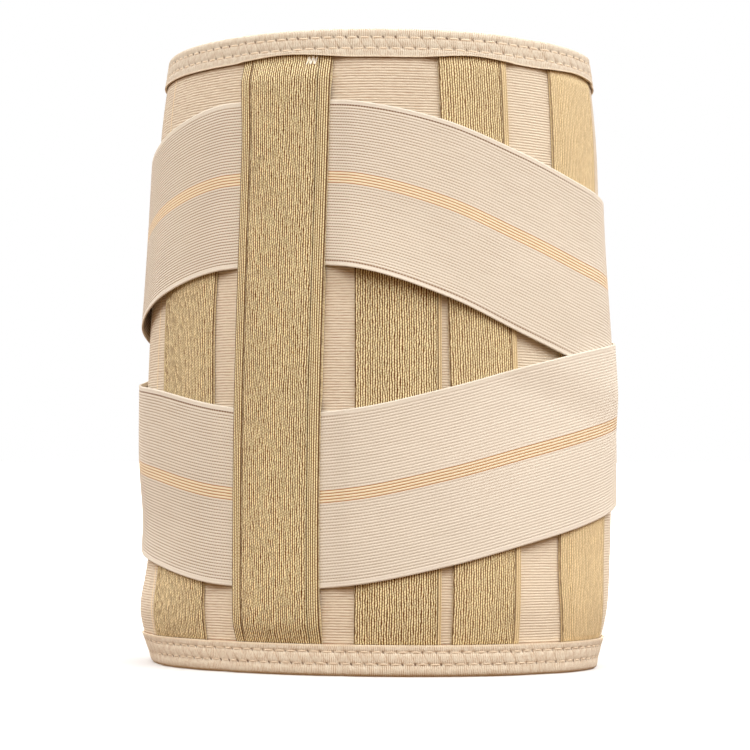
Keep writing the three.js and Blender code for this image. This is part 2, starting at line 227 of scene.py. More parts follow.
# Heights in millimetres of the straps' low and high edges, by angle from the spine
STRAP_ANGLES = np.arange(0, 181, 20)
STRAP_EDGES = {
    "upper_left_strap": (
        (190.5, 187.6, 178.5, 166, 156.5, 145.5, 132, 123, 115, 112),
        (268.5, 267, 258.7, 247.5, 237.5, 227, 216, 204, 194, 190)),
    "upper_right_strap": (
        (190.5, 187.3, 174.3, 157.2, 144.5, 138, 131, 123, 115, 112),
        (267.5, 265, 256.5, 243, 231, 223.5, 214, 203, 194, 190)),
    "lower_left_strap": (
        (38.5, 41.8, 48.5, 54.5, 62.5, 72.5, 84, 97, 110, 112),
        (120, 126.2, 133, 136, 139.5, 150, 163, 176, 190, 190)),
    "lower_right_strap": (
        (38.5, 42.3, 50.6, 60.4, 68.8, 76.7, 86, 97, 110, 112),
        (120, 123.6, 132.5, 142.5, 150, 154.5, 158, 172, 190, 190)),
}

# How far the free edge of a strap stands off the panel, between which angles, and the power that moves the
# widest place towards the spine
STRAPS = (
    {"node": "upper_left_strap", "upper": True, "side": -1,
     "flare": 1.0 * MM, "from": 18, "to": 84, "skew": 1},
    {"node": "upper_right_strap", "upper": True, "side": 1,
     "flare": 4.2 * MM, "from": 12, "to": 66, "skew": 0.45},
    {"node": "lower_left_strap", "upper": False, "side": -1,
     "flare": 1.2 * MM, "from": 18, "to": 80, "skew": 1},
    {"node": "lower_right_strap", "upper": False, "side": 1,
     "flare": 0.8 * MM, "from": 18, "to": 60, "skew": 1},
)

# Cloth of the straps: strengths of the ribs towards -X and +X, stronger towards -X as painted shading of
# the ribs by light grazing that side, lengths from the spine between which the sewn lines beside the
# selvages come or go, and the strength of the low one
UPPER_CLOTH = {"ribs": (1.7, 0.8), "sewn": ((-20 * MM, 0 * MM), (190 * MM, 110 * MM)), "low_line": 1.0}
LOWER_CLOTH = {"ribs": (1.22, 0.2), "sewn": ((40 * MM, 0 * MM),), "low_line": 0.0}
SELVAGE_RAMP = 0.3 * MM
SEWN_LINE_HALF_WIDTH = 0.4 * MM
SEWN_LINE_DEPTH = 0.06 * MM

# Where the straps run, how they ride over the covers and each other, and how their edges thin out
STRAP_THICKNESS = 1.3 * MM
STRAP_WIDTH = 80 * MM
STRAP_EDGE_DROP = 0.15
STRAP_BACK_DROP = 0.4
STRAP_FIRST = 2
STRAP_LAST = 172
RIDE_OVER_COVERS = 2.4 * MM
CLIMB_STARTS = 13
CLIMB_ENDS = 18
SETTLING = {"drop": 1.6 * MM, "from": 100, "full": 108, "until": 122, "end": 135}
CROSSING_RAMP = 24 * MM
CROSSING_LEAD = 4 * MM
SPINE_COVER_RIDE = GAP + STRAP_THICKNESS
STRAP_END_CLEARANCE = 3 * MM
STRAP_END_RAMP = 4 * MM

# The plain pad over the strap ends at the front
PAD_START = 157
PAD_END = 203
PAD_LOW = 100 * MM
PAD_HIGH = 202 * MM
PAD_CORNER = 16 * MM
PAD_THICKNESS = 2 * MM
PAD_HEM_HALF_WIDTH = 0.8 * MM
PAD_RIDE = RIDE_OVER_COVERS + FRONT_STEP + 2 * (STRAP_THICKNESS + GAP)

# How finely the surfaces are cut. The rows of a trim run from its free edge to the far row of stitches, to
# the near row, to the roll, round the roll and down the inside leg
SAMPLES_PER_RIB = 4
SAMPLES_PER_STITCH = 8
SAMPLES_PER_THREAD = 7
THREAD_SIDES = 6
PANEL_COLUMNS = 86
TRIM_FACE_ROWS = (6, 7, 2, 11, 2)
TRIM_UNDER_ROWS = (1, 1, 1, 5, 1)
STRAP_COLUMNS_AT_SPINE = 24
STRAP_COLUMNS = 88
STRAP_FINE_UNTIL = CLIMB_ENDS + 4
PAD_COLUMNS = 121
PAD_ROWS = 91
INNER_ROWS = 12
COVER_INNER_ROWS = 24
EDGE_ROUND = 0.35 * MM
SHARP_ANGLE = 55
ARC_REACH = 220
ARC_STEPS = 4401
RIPPLE_WAVES = 8

# Spots of fine thread in the elastic, and the heights between which painted light from the floor makes
# cloth paler towards the floor
FINE_THREADS = (0.9 * MM, 0.4 * MM)
FLOOR_LIGHT_HEIGHTS = (130 * MM, 30 * MM)

# The stage. Heights of the surround are sines of the elevation, between which one light passes into the next
FLOOR_REACH = 40
FLOOR_POINTS = 9
FLOOR_DROP = 0.2 * MM
FLOOR_GLOW = (0.3, 0.9)
KEY_LIGHT = {"azimuth": 78, "elevation": 45, "distance": 4.0, "size": 1.6}
HORIZON = (-0.1, 0.1)
BAND_STARTS = (0.25, 0.5)
BAND_ENDS = (0.75, 0.95)
TINT_ENDS = (0.1, 0.5)


def linear(red, green, blue):
    """Scene colour of a display colour given in steps of 255."""
    shares = np.array([red, green, blue]) / 255
    curve = np.where(shares <= 0.04045, shares / 12.92, ((shares + 0.055) / 1.055) ** 2.4)
    return tuple(float(value) for value in curve)


def length_property(name, description, default):
    """A length that a user may change, in metres."""
    return FloatProperty(name=name, description=description, default=default, min=0, unit="LENGTH")


def colour_property(name, description, default):
    """A colour that a user may change, given as a display colour."""
    return FloatVectorProperty(
        name=name, description=description, default=linear(*default), subtype="COLOR", min=0, max=1)


class PanelSettings(bpy.types.PropertyGroup):
    """Sizes and colours of the elastic panel."""

    rib_pitch: length_property("Rib Pitch", "Height of one knitted rib", 1.27 * MM)
    rib_depth: length_property("Rib Depth", "Depth of the valley between two ribs", 0.2 * MM)
    seam_angle: FloatProperty(
        name="Seam Angle", description="Angle in degrees of the thin upright seam", default=-46.5)
    seam_width: length_property("Seam Width", "Width of the thin upright seam", 0.9 * MM)
    rib: colour_property("Rib", "Colour of the ribs", (226, 213, 191))
    valley: colour_property("Valley", "Colour between the ribs", (172, 136, 106))
    seam: colour_property("Seam", "Colour of the upright seam", (236, 214, 176))
    # The shade colour paints the shadow under the trims' free edges onto the panel
    shade: colour_property("Shade", "Colour in the seam beside the trims", (150, 100, 56))


class TrimSettings(bpy.types.PropertyGroup):
    """Sizes and colours of the folded edge trims and their stitches."""

    stitch_pitch: length_property("Stitch Pitch", "Distance between two needle holes", 5.8 * MM)
    stitch_sink: length_property("Stitch Sink", "How far a row of stitches pulls the trim in", 0.3 * MM)
    hole_depth: length_property("Hole Depth", "Depth of the dimple at a needle hole", 0.5 * MM)
    crease_depth: length_property("Crease Depth", "Depth of the slanted creases", 0.07 * MM)
    rib_pitch: length_property("Rib Pitch", "Width of one fine knitted rib", 0.85 * MM)
    thread_radius: length_property("Thread Radius", "Half the width of the flat sewing thread", 0.42 * MM)
    cloth: colour_property("Cloth", "Colour of the trim", (229, 218, 198))
    # The valley colour also paints the shade in the creases and the thread's shadow beside the rows
    valley: colour_property("Valley", "Colour between the fine ribs", (186, 152, 118))
    hole: colour_property("Hole", "Colour inside a needle hole", (84, 48, 18))
    # The thread colour also paints the highlight along a trim's free edge
    thread: colour_property("Thread", "Colour of the sewing thread", (246, 230, 204))


class CoverSettings(bpy.types.PropertyGroup):
    """Sizes and colours of the woven stay covers."""

    wale_pitch: length_property("Wale Pitch", "Width of one upright row of stitches", 1.1 * MM)
    wale_depth: length_property("Wale Depth", "Depth of the valley between two wales", 0.16 * MM)
    stitch_length: length_property("Stitch Length", "Length of one woven stitch", 2.3 * MM)
    float_length: length_property("Float Length", "Length of one fine float of thread", 1.35 * MM)
    waver: length_property("Waver", "How far the wales wander sideways", 0.45 * MM)
    dark: colour_property("Dark", "Colour of the valleys", (94, 50, 14))
    middle: colour_property("Middle", "Colour of the weave", (190, 161, 107))
    bright: colour_property("Bright", "Colour of the raised threads", (250, 234, 189))
    tint: colour_property("Tint", "Colour of the weft that shows through", (158, 152, 108))
    smooth: colour_property("Smooth", "Colour of the weave where it lies smooth", (227, 202, 157))
    # The groove colour also paints the contact shadow lines at the covers' edges and the shadow under the
    # trims
    groove: colour_property("Groove", "Colour of the sewn grooves", (74, 44, 18))
    tack: colour_property("Tack", "Colour of the bar-tack", (250, 248, 240))


class StrapSettings(bpy.types.PropertyGroup):
    """Sizes and colours of the elastic straps."""

    ribs: IntProperty(name="Ribs", description="Number of ribs across a strap", default=60, min=20)
    rib_depth: length_property("Rib Depth", "Depth of the valley between two ribs", 0.1 * MM)
    selvage: length_property("Selvage", "Width of the flat band at each edge", 2.3 * MM)
    dash_length: length_property("Dash Length", "Length of one dash between the ribs", 1.35 * MM)
    upper_stripe: IntProperty(
        name="Upper Stripe", description="First rib of the stripe on an upper strap", default=30)
    lower_stripe: IntProperty(
        name="Lower Stripe", description="First rib of the stripe on a lower strap", default=29)
    stripe_ribs: IntProperty(name="Stripe Ribs", description="Number of ribs in the stripe", default=4)
    rib: colour_property("Rib", "Colour of the ribs", (229, 219, 203))
    valley: colour_property("Valley", "Colour between the ribs", (166, 142, 116))
    stripe: colour_property("Stripe", "Colour of the ribs in the stripe", (242, 227, 196))
    line: colour_property("Line", "Colour of the lines in the stripe", (172, 114, 52))
    groove: colour_property("Groove", "Colour of the sewn line beside the selvage", (122, 88, 60))


class PadSettings(bpy.types.PropertyGroup):
    """Sizes and colours of the front pad."""

    hem: length_property("Hem", "Distance of the sewn line from the edge", 4 * MM)
    hem_depth: length_property("Hem Depth", "Depth of the sewn line", 0.5 * MM)
    cloth: colour_property("Cloth", "Colour of the pad", (228, 208, 180))
    pile: colour_property("Pile", "Colour between the brushed loops", (198, 174, 144))


class StageSettings(bpy.types.PropertyGroup):
    """The camera, the key light, the surround and the floor."""

    azimuth: FloatProperty(
        name="Azimuth", description="Camera's turn from the spine towards +X", subtype="ANGLE",
        default=math.radians(28))
    distance: length_property("Distance", "Distance of the camera from the belt's axis", 1.5)
    camera_height: length_property("Camera Height", "Height of the camera above the floor", 101 * MM)
    aim_height: length_property("Aim Height", "Height of the point that the camera looks at", 141.0 * MM)
    lens: FloatProperty(name="Lens", description="Focal length for a 36 mm sensor", default=146.5)
    surround: FloatProperty(name="Surround", description="Strength of the even surround", default=0.33)
    surround_below: FloatProperty(
        name="Surround Below", description="Strength of the surround below the horizon", default=0.3)
    band: FloatProperty(name="Band", description="Strength of the band of light above", default=3.2)
    tint: colour_property("Tint", "Colour of the surround under the band", (255, 200, 145))
    key_power: FloatProperty(name="Key Power", description="Power of the key light in watts", default=36)
    floor: colour_property("Floor", "Colour of the floor", (222, 222, 222))


def ease(low, high, value):
    """Smooth step: 0 up to low, 1 from high and 3s^2 - 2s^3 between; low may be the larger of the two."""
    s = np.clip((value - low) / (high - low), 0, 1)
    return s * s * (3 - 2 * s)


def hump(value, middle, half_width):
    """Bell curve of height 1: e to the minus square of the distance from its middle in half widths."""
    return np.exp(-(((value - middle) / half_width) ** 2))


def curve_through(places, values, at):
    """Smooth curve through a table: cubic pieces whose slopes come from the neighbouring rows."""
    at = np.clip(at, places[0], places[-1])
    last = len(places) - 1
    before = np.maximum(np.arange(last + 1) - 1, 0)
    after = np.minimum(np.arange(last + 1) + 1, last)
    slope = (values[after] - values[before]) / (places[after] - places[before])
    left = np.clip(np.searchsorted(places, at, side="right") - 1, 0, last - 1)
    right = left + 1
    span = places[right] - places[left]
    s = (at - places[left]) / span
    from_left = (1 + 2 * s) * (1 - s) ** 2 * values[left] + s * (1 - s) ** 2 * span * slope[left]
    from_right = s ** 2 * (3 - 2 * s) * values[right] + s ** 2 * (s - 1) * span * slope[right]
    return from_left + from_right


def half_width(height):
    """Half width of the oval across X at a height."""
    return curve_through(OVAL_SHARES, OVAL_HALF_WIDTHS, height / HEIGHT)


def top_edge(angle):
    """Height of the finished top edge: highest at the spine and lowest at the front."""
    return HEIGHT - FRONT_DROP / 2 * (1 - np.cos(np.radians(angle)))


def front_step(angle):
    """How far the panel steps in on the left, or out on the right, where its ends overlap."""
    return np.sign(angle) * FRONT_STEP * ease(STEP_STARTS, STEP_ENDS, np.abs(angle))


def fullness(angle, height):
    """How much fuller than its oval the wall is: the sum of the bell-shaped swellings."""
    return sum(
        size * hump(angle, turn, turn_reach) * hump(height, rise, rise_reach)
        for turn, turn_reach, rise, rise_reach, size in SWELLINGS)


def on_wall(angle, height, offset):
    """Points of the wall: an ellipse at that height, moved out along its normal by its fullness and an
    offset."""
    angle, height, offset = np.broadcast_arrays(angle, height, offset)
    turn = np.radians(angle)
    a = half_width(height)
    b = DEPTH_RATIO * a
    normal_x = b * np.sin(turn)
    normal_y = -a * np.cos(turn)
    out = (fullness(angle, height) + offset) / np.hypot(normal_x, normal_y)
    x = CENTRE_X + a * np.sin(turn) + out * normal_x
    y = CENTRE_Y - b * np.cos(turn) + out * normal_y
    return np.stack([x, y, height], axis=-1)


def unit_arc():
    """Arc of an oval of half width 1 from the spine, by angle: the ellipse's speed summed in small steps."""
    angles = np.linspace(-ARC_REACH, ARC_REACH, ARC_STEPS)
    turn = np.radians(angles)
    speed = np.hypot(np.cos(turn), DEPTH_RATIO * np.sin(turn))
    lengths = np.concatenate([[0], np.cumsum((speed[1:] + speed[:-1]) / 2 * np.diff(turn))])
    return angles, lengths - np.interp(0, angles, lengths)


ARC_ANGLES, ARC_LENGTHS = unit_arc()


def wall_length(angle, height):
    """Length along the wall from the spine to an angle at one height."""
    return half_width(height) * np.interp(angle, ARC_ANGLES, ARC_LENGTHS)


def angle_at(length, height):
    """Angle that lies a length along the wall from the spine at one height."""
    return np.interp(length / half_width(height), ARC_LENGTHS, ARC_ANGLES)


def degrees_for(length, angle, height):
    """Angle that a short length of the wall takes up at a given angle and height."""
    turn = np.radians(angle)
    return np.degrees(length / (half_width(height) * np.hypot(np.cos(turn), DEPTH_RATIO * np.sin(turn))))


def ripple(along, across, wave, seed):
    """Smooth seeded unevenness between -1 and 1: the mean of a few sine waves in random directions."""
    draws = np.random.default_rng(seed)
    turns = draws.uniform(0, 2 * np.pi, RIPPLE_WAVES)
    starts = draws.uniform(0, 2 * np.pi, RIPPLE_WAVES)
    waves = wave * draws.uniform(0.6, 1.6, RIPPLE_WAVES)
    total = 0
    for turn, start, size in zip(turns, starts, waves):
        total = total + np.sin((along * np.cos(turn) + across * np.sin(turn)) * 2 * np.pi / size + start)
    return total / RIPPLE_WAVES


def trough(phase):
    """Valley of a ribbed cloth, as a squared cosine: 1 at each whole number of ribs, 0 on the crests."""
    return (0.5 + 0.5 * np.cos(2 * np.pi * phase)) ** 2


def rounding(distance):
    """Quarter circle at a cloth's edge: 0 on the edge and 1 from EDGE_ROUND inwards."""
    return np.sqrt(1 - (1 - np.clip(distance / EDGE_ROUND, 0, 1)) ** 2)


def grid_quads(numbers):
    """Quads between the neighbouring points of a grid of vertex numbers."""
    corners = (numbers[:-1, :-1], numbers[:-1, 1:], numbers[1:, 1:], numbers[1:, :-1])
    return np.stack([corner.ravel() for corner in corners], axis=1)


def zip_triangles(many, few):
    """Triangles that join a long row of points to a short one: each edge of the long row meets the
    nearest point of the short row, and each edge of the short row the point where that changes."""
    near = np.round(np.linspace(0, len(few) - 1, len(many))).astype(int)
    change = np.searchsorted(near, np.arange(1, len(few)))
    long_edges = np.stack([many[:-1], many[1:], few[near[:-1]]], axis=1)
    short_edges = np.stack([few[:-1], many[change], few[1:]], axis=1)
    return np.concatenate([long_edges, short_edges])


def put_mesh(name, points, flat, quads, triangles, marks=None):
    """Object made of whole arrays: points, their places on the flat cloth, quads and triangles. marks
    holds named numbers for each point."""
    mesh = bpy.data.meshes.new(name)
    corners = np.concatenate([quads.ravel(), triangles.ravel()]).astype(np.int32)
    first_triangle = quads.size
    starts = np.concatenate([np.arange(len(quads)) * 4, first_triangle + np.arange(len(triangles)) * 3])
    mesh.vertices.add(len(points))
    mesh.vertices.foreach_set("co", points.astype(np.float32).ravel())
    mesh.loops.add(len(corners))
    mesh.loops.foreach_set("vertex_index", corners)
    mesh.polygons.add(len(starts))
    mesh.polygons.foreach_set("loop_start", starts.astype(np.int32))
    mesh.update(calc_edges=True)
    mesh.validate()
    mesh.uv_layers.new(name=FLAT_MAP).data.foreach_set("uv", flat[corners].astype(np.float32).ravel())
    for mark, values in (marks or {}).items():
        attribute = mesh.attributes.new(mark, "FLOAT", "POINT")
        attribute.data.foreach_set("value", values.astype(np.float32))
    mesh.polygons.foreach_set("use_smooth", np.ones(len(starts), bool))
    mesh.set_sharp_from_angle(angle=math.radians(SHARP_ANGLE))
    piece = bpy.data.objects.new(name, mesh)
    bpy.context.scene.collection.objects.link(piece)
    return piece


def slab(name, outer, inner, outer_flat, inner_flat, marks=None):
    """Closed slab of cloth between an outer grid and a coarser inner grid with the same columns.

    Rows run upwards and columns towards +X as seen from outside, so the outer quads face outwards.
    Quads close the two long edges, and triangles zip the two ends.
    """
    columns = outer.shape[1]
    top = np.arange(outer.shape[0] * columns).reshape(-1, columns)
    under = top.size + np.arange(inner.shape[0] * columns).reshape(-1, columns)
    quads = np.concatenate([
        grid_quads(top),
        grid_quads(under[::-1]),
        grid_quads(np.stack([under[0], top[0]])),
        grid_quads(np.stack([top[-1], under[-1]])),
    ])
    triangles = np.concatenate([
        zip_triangles(top[:, 0], under[:, 0]),
        zip_triangles(top[::-1, -1], under[::-1, -1]),
    ])
    points = np.concatenate([outer.reshape(-1, 3), inner.reshape(-1, 3)])
    flat = np.concatenate([outer_flat.reshape(-1, 2), inner_flat.reshape(-1, 2)])
    filled = {
        mark: np.concatenate([np.broadcast_to(values, top.shape).ravel(), np.zeros(under.size)])
        for mark, values in (marks or {}).items()
    }
    return put_mesh(name, points, flat, quads, triangles, filled)


def thread(name, along, across, offset, radius, to_points, turned=False):
    """Sewing threads: a flat ring of points carried square to each path, closed by a fan at both ends.

    Each row of along, across and offset is one path on a face, and to_points carries it to the wall.
    The ring's half height is half its half width. turned is for a face whose across runs downwards.
    """
    ahead = np.gradient(along, axis=1)
    aside = np.gradient(across, axis=1)
    size = np.hypot(ahead, aside)
    ring = np.linspace(0, 2 * np.pi, THREAD_SIDES, endpoint=False)
    reach = radius[..., None] * np.cos(ring)
    ring_along = along[..., None] - reach * (aside / size)[..., None]
    ring_across = across[..., None] + reach * (ahead / size)[..., None]
    ring_offset = offset[..., None] + 0.5 * radius[..., None] * np.sin(ring)
    points = to_points(ring_along, ring_across, ring_offset)
    numbers = np.arange(ring_along.size).reshape(ring_along.shape)
    around = np.roll(numbers, -1, axis=2)
    corners = (numbers[:, :-1], around[:, :-1], around[:, 1:], numbers[:, 1:])
    quads = np.stack([corner.ravel() for corner in corners], axis=1)
    side = np.arange(2, THREAD_SIDES)
    fan = np.stack([np.zeros_like(side), side, side - 1], axis=1)
    first, last = numbers[:, 0], numbers[:, -1]
    caps = np.concatenate([first[:, fan].reshape(-1, 3), last[:, fan[:, ::-1]].reshape(-1, 3)])
    if turned:
        quads, caps = quads[:, ::-1], caps[:, ::-1]
    flat = pair(ring_along, ring_across).reshape(-1, 2)
    return put_mesh(name, points.reshape(-1, 3), flat, quads, caps)


def pair(along, across):
    """Places on the flat cloth, from two arrays that fill each other out."""
    return np.stack(np.broadcast_arrays(along, across), axis=-1)


def settle(piece, finish, node=None):
    """Gives a piece its finish and its body, and hides the CAD node that it stands for."""
    piece.data.materials.append(finish)
    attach(piece, BODY)
    if node:
        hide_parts(node)
    return piece


class Nodes:
    """Nodes of one tree. Its methods add nodes and return the last one's output."""

    def __init__(self, tree):
        """Keeps the tree's nodes and links."""
        self.nodes = tree.nodes
        self.links = tree.links

    def fill(self, socket, value):
        """Links a socket to another node's output, or sets it to a plain value."""
        if isinstance(value, bpy.types.NodeSocket):
            self.links.new(value, socket)
        else:
            socket.default_value = value

    def math(self, operation, *values):
        """Arithmetic on one, two or three numbers."""
        node = self.nodes.new("ShaderNodeMath")
        node.operation = operation
        for socket, value in zip(node.inputs, values):
            self.fill(socket, value)
        return node.outputs[0]

    def plus(self, first, *others):
        """Sum of two or more numbers."""
        for other in others:
            first = self.math("ADD", first, other)
        return first

    def times(self, first, *others):
        """Product of two or more numbers."""
        for other in others:
            first = self.math("MULTIPLY", first, other)
        return first

    def minus(self, first, second):
        """Difference of two numbers."""
        return self.math("SUBTRACT", first, second)

    def over(self, first, second):
        """Quotient of two numbers."""
        return self.math("DIVIDE", first, second)

    def apart(self, first, second):
        """Distance between two numbers."""
        return self.math("ABSOLUTE", self.minus(first, second))

    def ease(self, value, low, high):
        """Smooth step from 0 at low to 1 at high; low may be the larger of the two."""
        node = self.nodes.new("ShaderNodeMapRange")
        node.interpolation_type = "SMOOTHSTEP"
        self.fill(node.inputs["Value"], value)
        node.inputs["From Min"].default_value = low
        node.inputs["From Max"].default_value = high
        return node.outputs["Result"]

    def range(self, share, low, high):
        """Number between low and high at a share from 0 to 1."""
        return self.math("MULTIPLY_ADD", share, high - low, low)

    def between(self, share, low, high):
        """Number between two others, each a plain value or another node's output, at a share from 0 to 1."""
        node = self.nodes.new("ShaderNodeMix")
        for index, value in ((0, share), (2, low), (3, high)):
            self.fill(node.inputs[index], value)
        return node.outputs[0]


class Finish(Nodes):
    """One cloth finish. Its methods add nodes to the material and return the last one's output, and those
    that complete the material return it."""

    SPECULAR = 0.2
    SHEEN_ROUGHNESS = 0.45

    def __init__(self, name, roughness, sheen):
        """Starts a material, and reads the place along and across the flat cloth."""
        self.material = bpy.data.materials.new(name)
        self.material.use_nodes = True
        super().__init__(self.material.node_tree)
        self.shader = self.nodes["Principled BSDF"]
        self.shader.inputs["Roughness"].default_value = roughness
        self.shader.inputs["Specular IOR Level"].default_value = self.SPECULAR
        self.shader.inputs["Sheen Weight"].default_value = sheen
        self.shader.inputs["Sheen Roughness"].default_value = self.SHEEN_ROUGHNESS
        place = self.nodes.new("ShaderNodeUVMap")
        place.uv_map = FLAT_MAP
        self.flat = place.outputs["UV"]
        split = self.nodes.new("ShaderNodeSeparateXYZ")
        self.fill(split.inputs[0], self.flat)
        self.along = split.outputs["X"]
        self.across = split.outputs["Y"]

    def crest(self, phase):
        """Triangle wave of a ribbed cloth: 0 at each whole number of ribs and 1 half way between."""
        return self.times(self.math("PINGPONG", phase, 0.5), 2.0)

    def noise(self, along, across, detail=2.0):
        """Cloudy unevenness whose spots are about that long along and across the cloth."""
        stretch = self.nodes.new("ShaderNodeVectorMath")
        stretch.operation = "MULTIPLY"
        self.fill(stretch.inputs[0], self.flat)
        stretch.inputs[1].default_value = (1 / along, 1 / across, 0)
        node = self.nodes.new("ShaderNodeTexNoise")
        node.noise_dimensions = "2D"
        self.fill(node.inputs["Vector"], stretch.outputs[0])
        node.inputs["Scale"].default_value = 1.0
        node.inputs["Detail"].default_value = detail
        return node.outputs[0]

    def patches(self, along, across):
        """Noise spread over the whole range from 0 to 1."""
        return self.ease(self.noise(along, across), 0.3, 0.7)

    def chance(self, number):
        """Fixed random share from 0 to 1 for each whole number."""
        node = self.nodes.new("ShaderNodeTexWhiteNoise")
        node.noise_dimensions = "1D"
        self.fill(node.inputs["W"], number)
        return node.outputs["Value"]

    def mark(self, name):
        """Number that the mesh holds at each point under that name."""
        node = self.nodes.new("ShaderNodeAttribute")
        node.attribute_name = name
        return node.outputs["Fac"]

    def blend(self, share, first, second):
        """Colour between two others."""
        node = self.nodes.new("ShaderNodeMix")
        node.data_type = "RGBA"
        for index, value in ((0, share), (6, first), (7, second)):
            if not isinstance(value, (bpy.types.NodeSocket, float)):
                value = (*value, 1)
            self.fill(node.inputs[index], value)
        return node.outputs[2]

    def shade(self, colour, light):
        """Colour made lighter or darker by a factor."""
        node = self.nodes.new("ShaderNodeHueSaturation")
        self.fill(node.inputs["Value"], light)
        self.fill(node.inputs["Color"], colour)
        return node.outputs[0]

    def mottle(self, colour, share, depth):
        """Colour made darker or lighter by up to a depth, as an unevenness from 0 to 1 says."""
        return self.shade(colour, self.range(share, 1 - depth, 1 + depth))

    def painted_floor_light(self, colour, height, light):
        """Colour made lighter by up to a factor towards the floor, as painted light from the floor."""
        return self.shade(colour, self.range(self.ease(height, *FLOOR_LIGHT_HEIGHTS), 1.0, light))

    def elastic(self, colour, crest, tone, depth, relief):
        """Material of a ribbed elastic: fine threads, a wide unevenness of tone and the ribs as a bump."""
        threads = self.noise(*FINE_THREADS)
        colour = self.mottle(colour, threads, 0.1)
        colour = self.mottle(colour, self.noise(*tone), depth)
        return self.done(colour, self.plus(threads, self.ease(crest, 0, 0.8)), relief)

    def done(self, colour, height, relief):
        """Connects the colour and a bump of that relief in metres, and returns the material."""
        self.fill(self.shader.inputs["Base Color"], colour)
        bump = self.nodes.new("ShaderNodeBump")
        bump.inputs["Distance"].default_value = relief
        self.fill(bump.inputs["Height"], height)
        self.fill(self.shader.inputs["Normal"], bump.outputs[0])
        return self.material


def panel_finish(settings):
    """Ribbed elastic, a little paler low down from painted floor light: pale ribs with thin brown valleys,
    uneven along each rib and calmer towards +X, one thin pale seam, and painted shadow in a thin dark line
    under the trims' free edges."""
    finish = Finish("panel ribbed elastic", roughness=0.85, sheen=0.12)
    wander = finish.range(finish.noise(10 * MM, 3 * MM), -0.3, 0.3)
    crest = finish.crest(finish.plus(finish.over(finish.across, settings.rib_pitch), wander))
    uneven = finish.range(finish.patches(5 * MM, 1.2 * MM), 0.38, 0.72)
    calm = finish.range(finish.ease(finish.along, 50 * MM, 130 * MM), 1.0, 0.55)
    valley = finish.times(finish.ease(crest, 0.75, 0.1), uneven, calm)
    colour = finish.blend(valley, settings.rib, settings.valley)
    seam_at = float(wall_length(settings.seam_angle, HEIGHT / 2))
    from_seam = finish.apart(finish.along, seam_at)
    seam = finish.ease(from_seam, settings.seam_width * 0.6, settings.seam_width * 0.3)
    colour = finish.blend(seam, colour, settings.seam)
    # Painted shadow in a thin dark line under the trims' free edges
    beside_trims = finish.times(finish.mark(GROOVE_AND_SHADOW_MARK), TRIM_SHADOW_DARKNESS)
    colour = finish.blend(beside_trims, colour, settings.shade)
    # Painted light from the floor makes the panel paler low down
    colour = finish.painted_floor_light(colour, finish.across, 1.07)
    return finish.elastic(colour, crest, tone=(45 * MM, 30 * MM), depth=0.07, relief=0.06 * MM)


def trim_finish(settings, trim):
    """Fine knitted trim: upright ribs, slanted creases from each hole to the next row darkened by painted
    shade, brown needle holes of uneven size, thin brown lines of painted thread shadow beside the rows of
    thread, a painted highlight along the free edge, and a tone that is painted light."""
    finish = Finish(trim["node"] + " knit", roughness=0.85, sheen=0.15)
    near, far = trim["rows"]
    waver = finish.times(finish.noise(4 * MM, 3 * MM), 0.8)
    crest = finish.crest(finish.plus(finish.over(finish.along, settings.rib_pitch), waver))
    uneven = finish.range(finish.patches(2.5 * MM, 3 * MM), 0.15, 0.75)
    valley = finish.times(finish.ease(crest, 0.8, 0.1), uneven)
    colour = finish.blend(valley, settings.cloth, settings.valley)
    stitches = finish.over(finish.along, settings.stitch_pitch)
    down = finish.over(finish.minus(finish.across, near), far - near)
    slant = finish.plus(finish.times(down, trim["lean"]), stitches)
    crease = finish.ease(finish.math("PINGPONG", slant, 0.5), 0.1, 0.0)
    between = finish.ease(finish.apart(down, 0.5), 0.56, 0.4)
    crease = finish.times(crease, between, 0.32)
    # Painted shade darkens the creases
    colour = finish.blend(crease, colour, settings.valley)
    relief = finish.minus(finish.ease(crest, 0, 0.9), finish.times(crease, 1.5))
    for row, shift, share in ((near, 0.0, 0.8), (far, 0.5, 0.55)):
        place = finish.plus(stitches, shift)
        number = finish.math("FLOOR", finish.plus(place, 0.5))
        chance = finish.chance(finish.plus(number, row / MM))
        above = finish.over(finish.minus(finish.across, row), HOLE_HALF_HEIGHT)
        aside = finish.plus(finish.minus(place, number), finish.range(chance, -0.05, 0.05))
        aside = finish.plus(finish.times(above, trim["lean"]), finish.times(aside, HOLE_WIDTHS_IN_A_STITCH))
        square = finish.plus(finish.times(aside, aside), finish.times(above, above))
        hole = finish.ease(finish.math("SQRT", square), 1.0, 0.4)
        hole = finish.times(hole, finish.range(chance, 0.45 * share, share))
        # Painted shadow of the thread in a thin brown line beside each row
        line = finish.ease(finish.apart(above, 0.6), 0.28, 0.05)
        line = finish.times(line, finish.range(finish.patches(3 * MM, 9 * MM), 0.0, 0.7))
        colour = finish.blend(line, colour, settings.valley)
        colour = finish.blend(hole, colour, settings.hole)
        relief = finish.minus(relief, hole)
    # Painted highlight along the free edge, in the thread's pale colour
    painted_edge_highlight = finish.ease(finish.across, trim["leg"] - 1.1 * MM, trim["leg"] - 0.4 * MM)
    colour = finish.blend(finish.times(painted_edge_highlight, 0.7), colour, settings.thread)
    threads = finish.noise(0.4 * MM, 1.2 * MM)
    # The trim's tone is painted light, which evens out how the light reaches the two trims
    colour = finish.shade(finish.mottle(colour, threads, 0.07), trim["tone"])
    return finish.done(colour, finish.plus(threads, relief), relief=0.16 * MM)


def thread_finish(name, ground, bright):
    """Sewing thread with a fine twist."""
    finish = Finish(name, roughness=0.7, sheen=0.1)
    twist = finish.crest(finish.over(finish.along, 0.5 * MM))
    colour = finish.blend(finish.range(twist, 0.5, 1.0), ground, bright)
    return finish.done(colour, twist, relief=0.05 * MM)


def flattened(cover):
    """Share of its relief that a cover's weave keeps: less, the smoother it lies."""
    return 1 - 0.6 * cover["calm"]


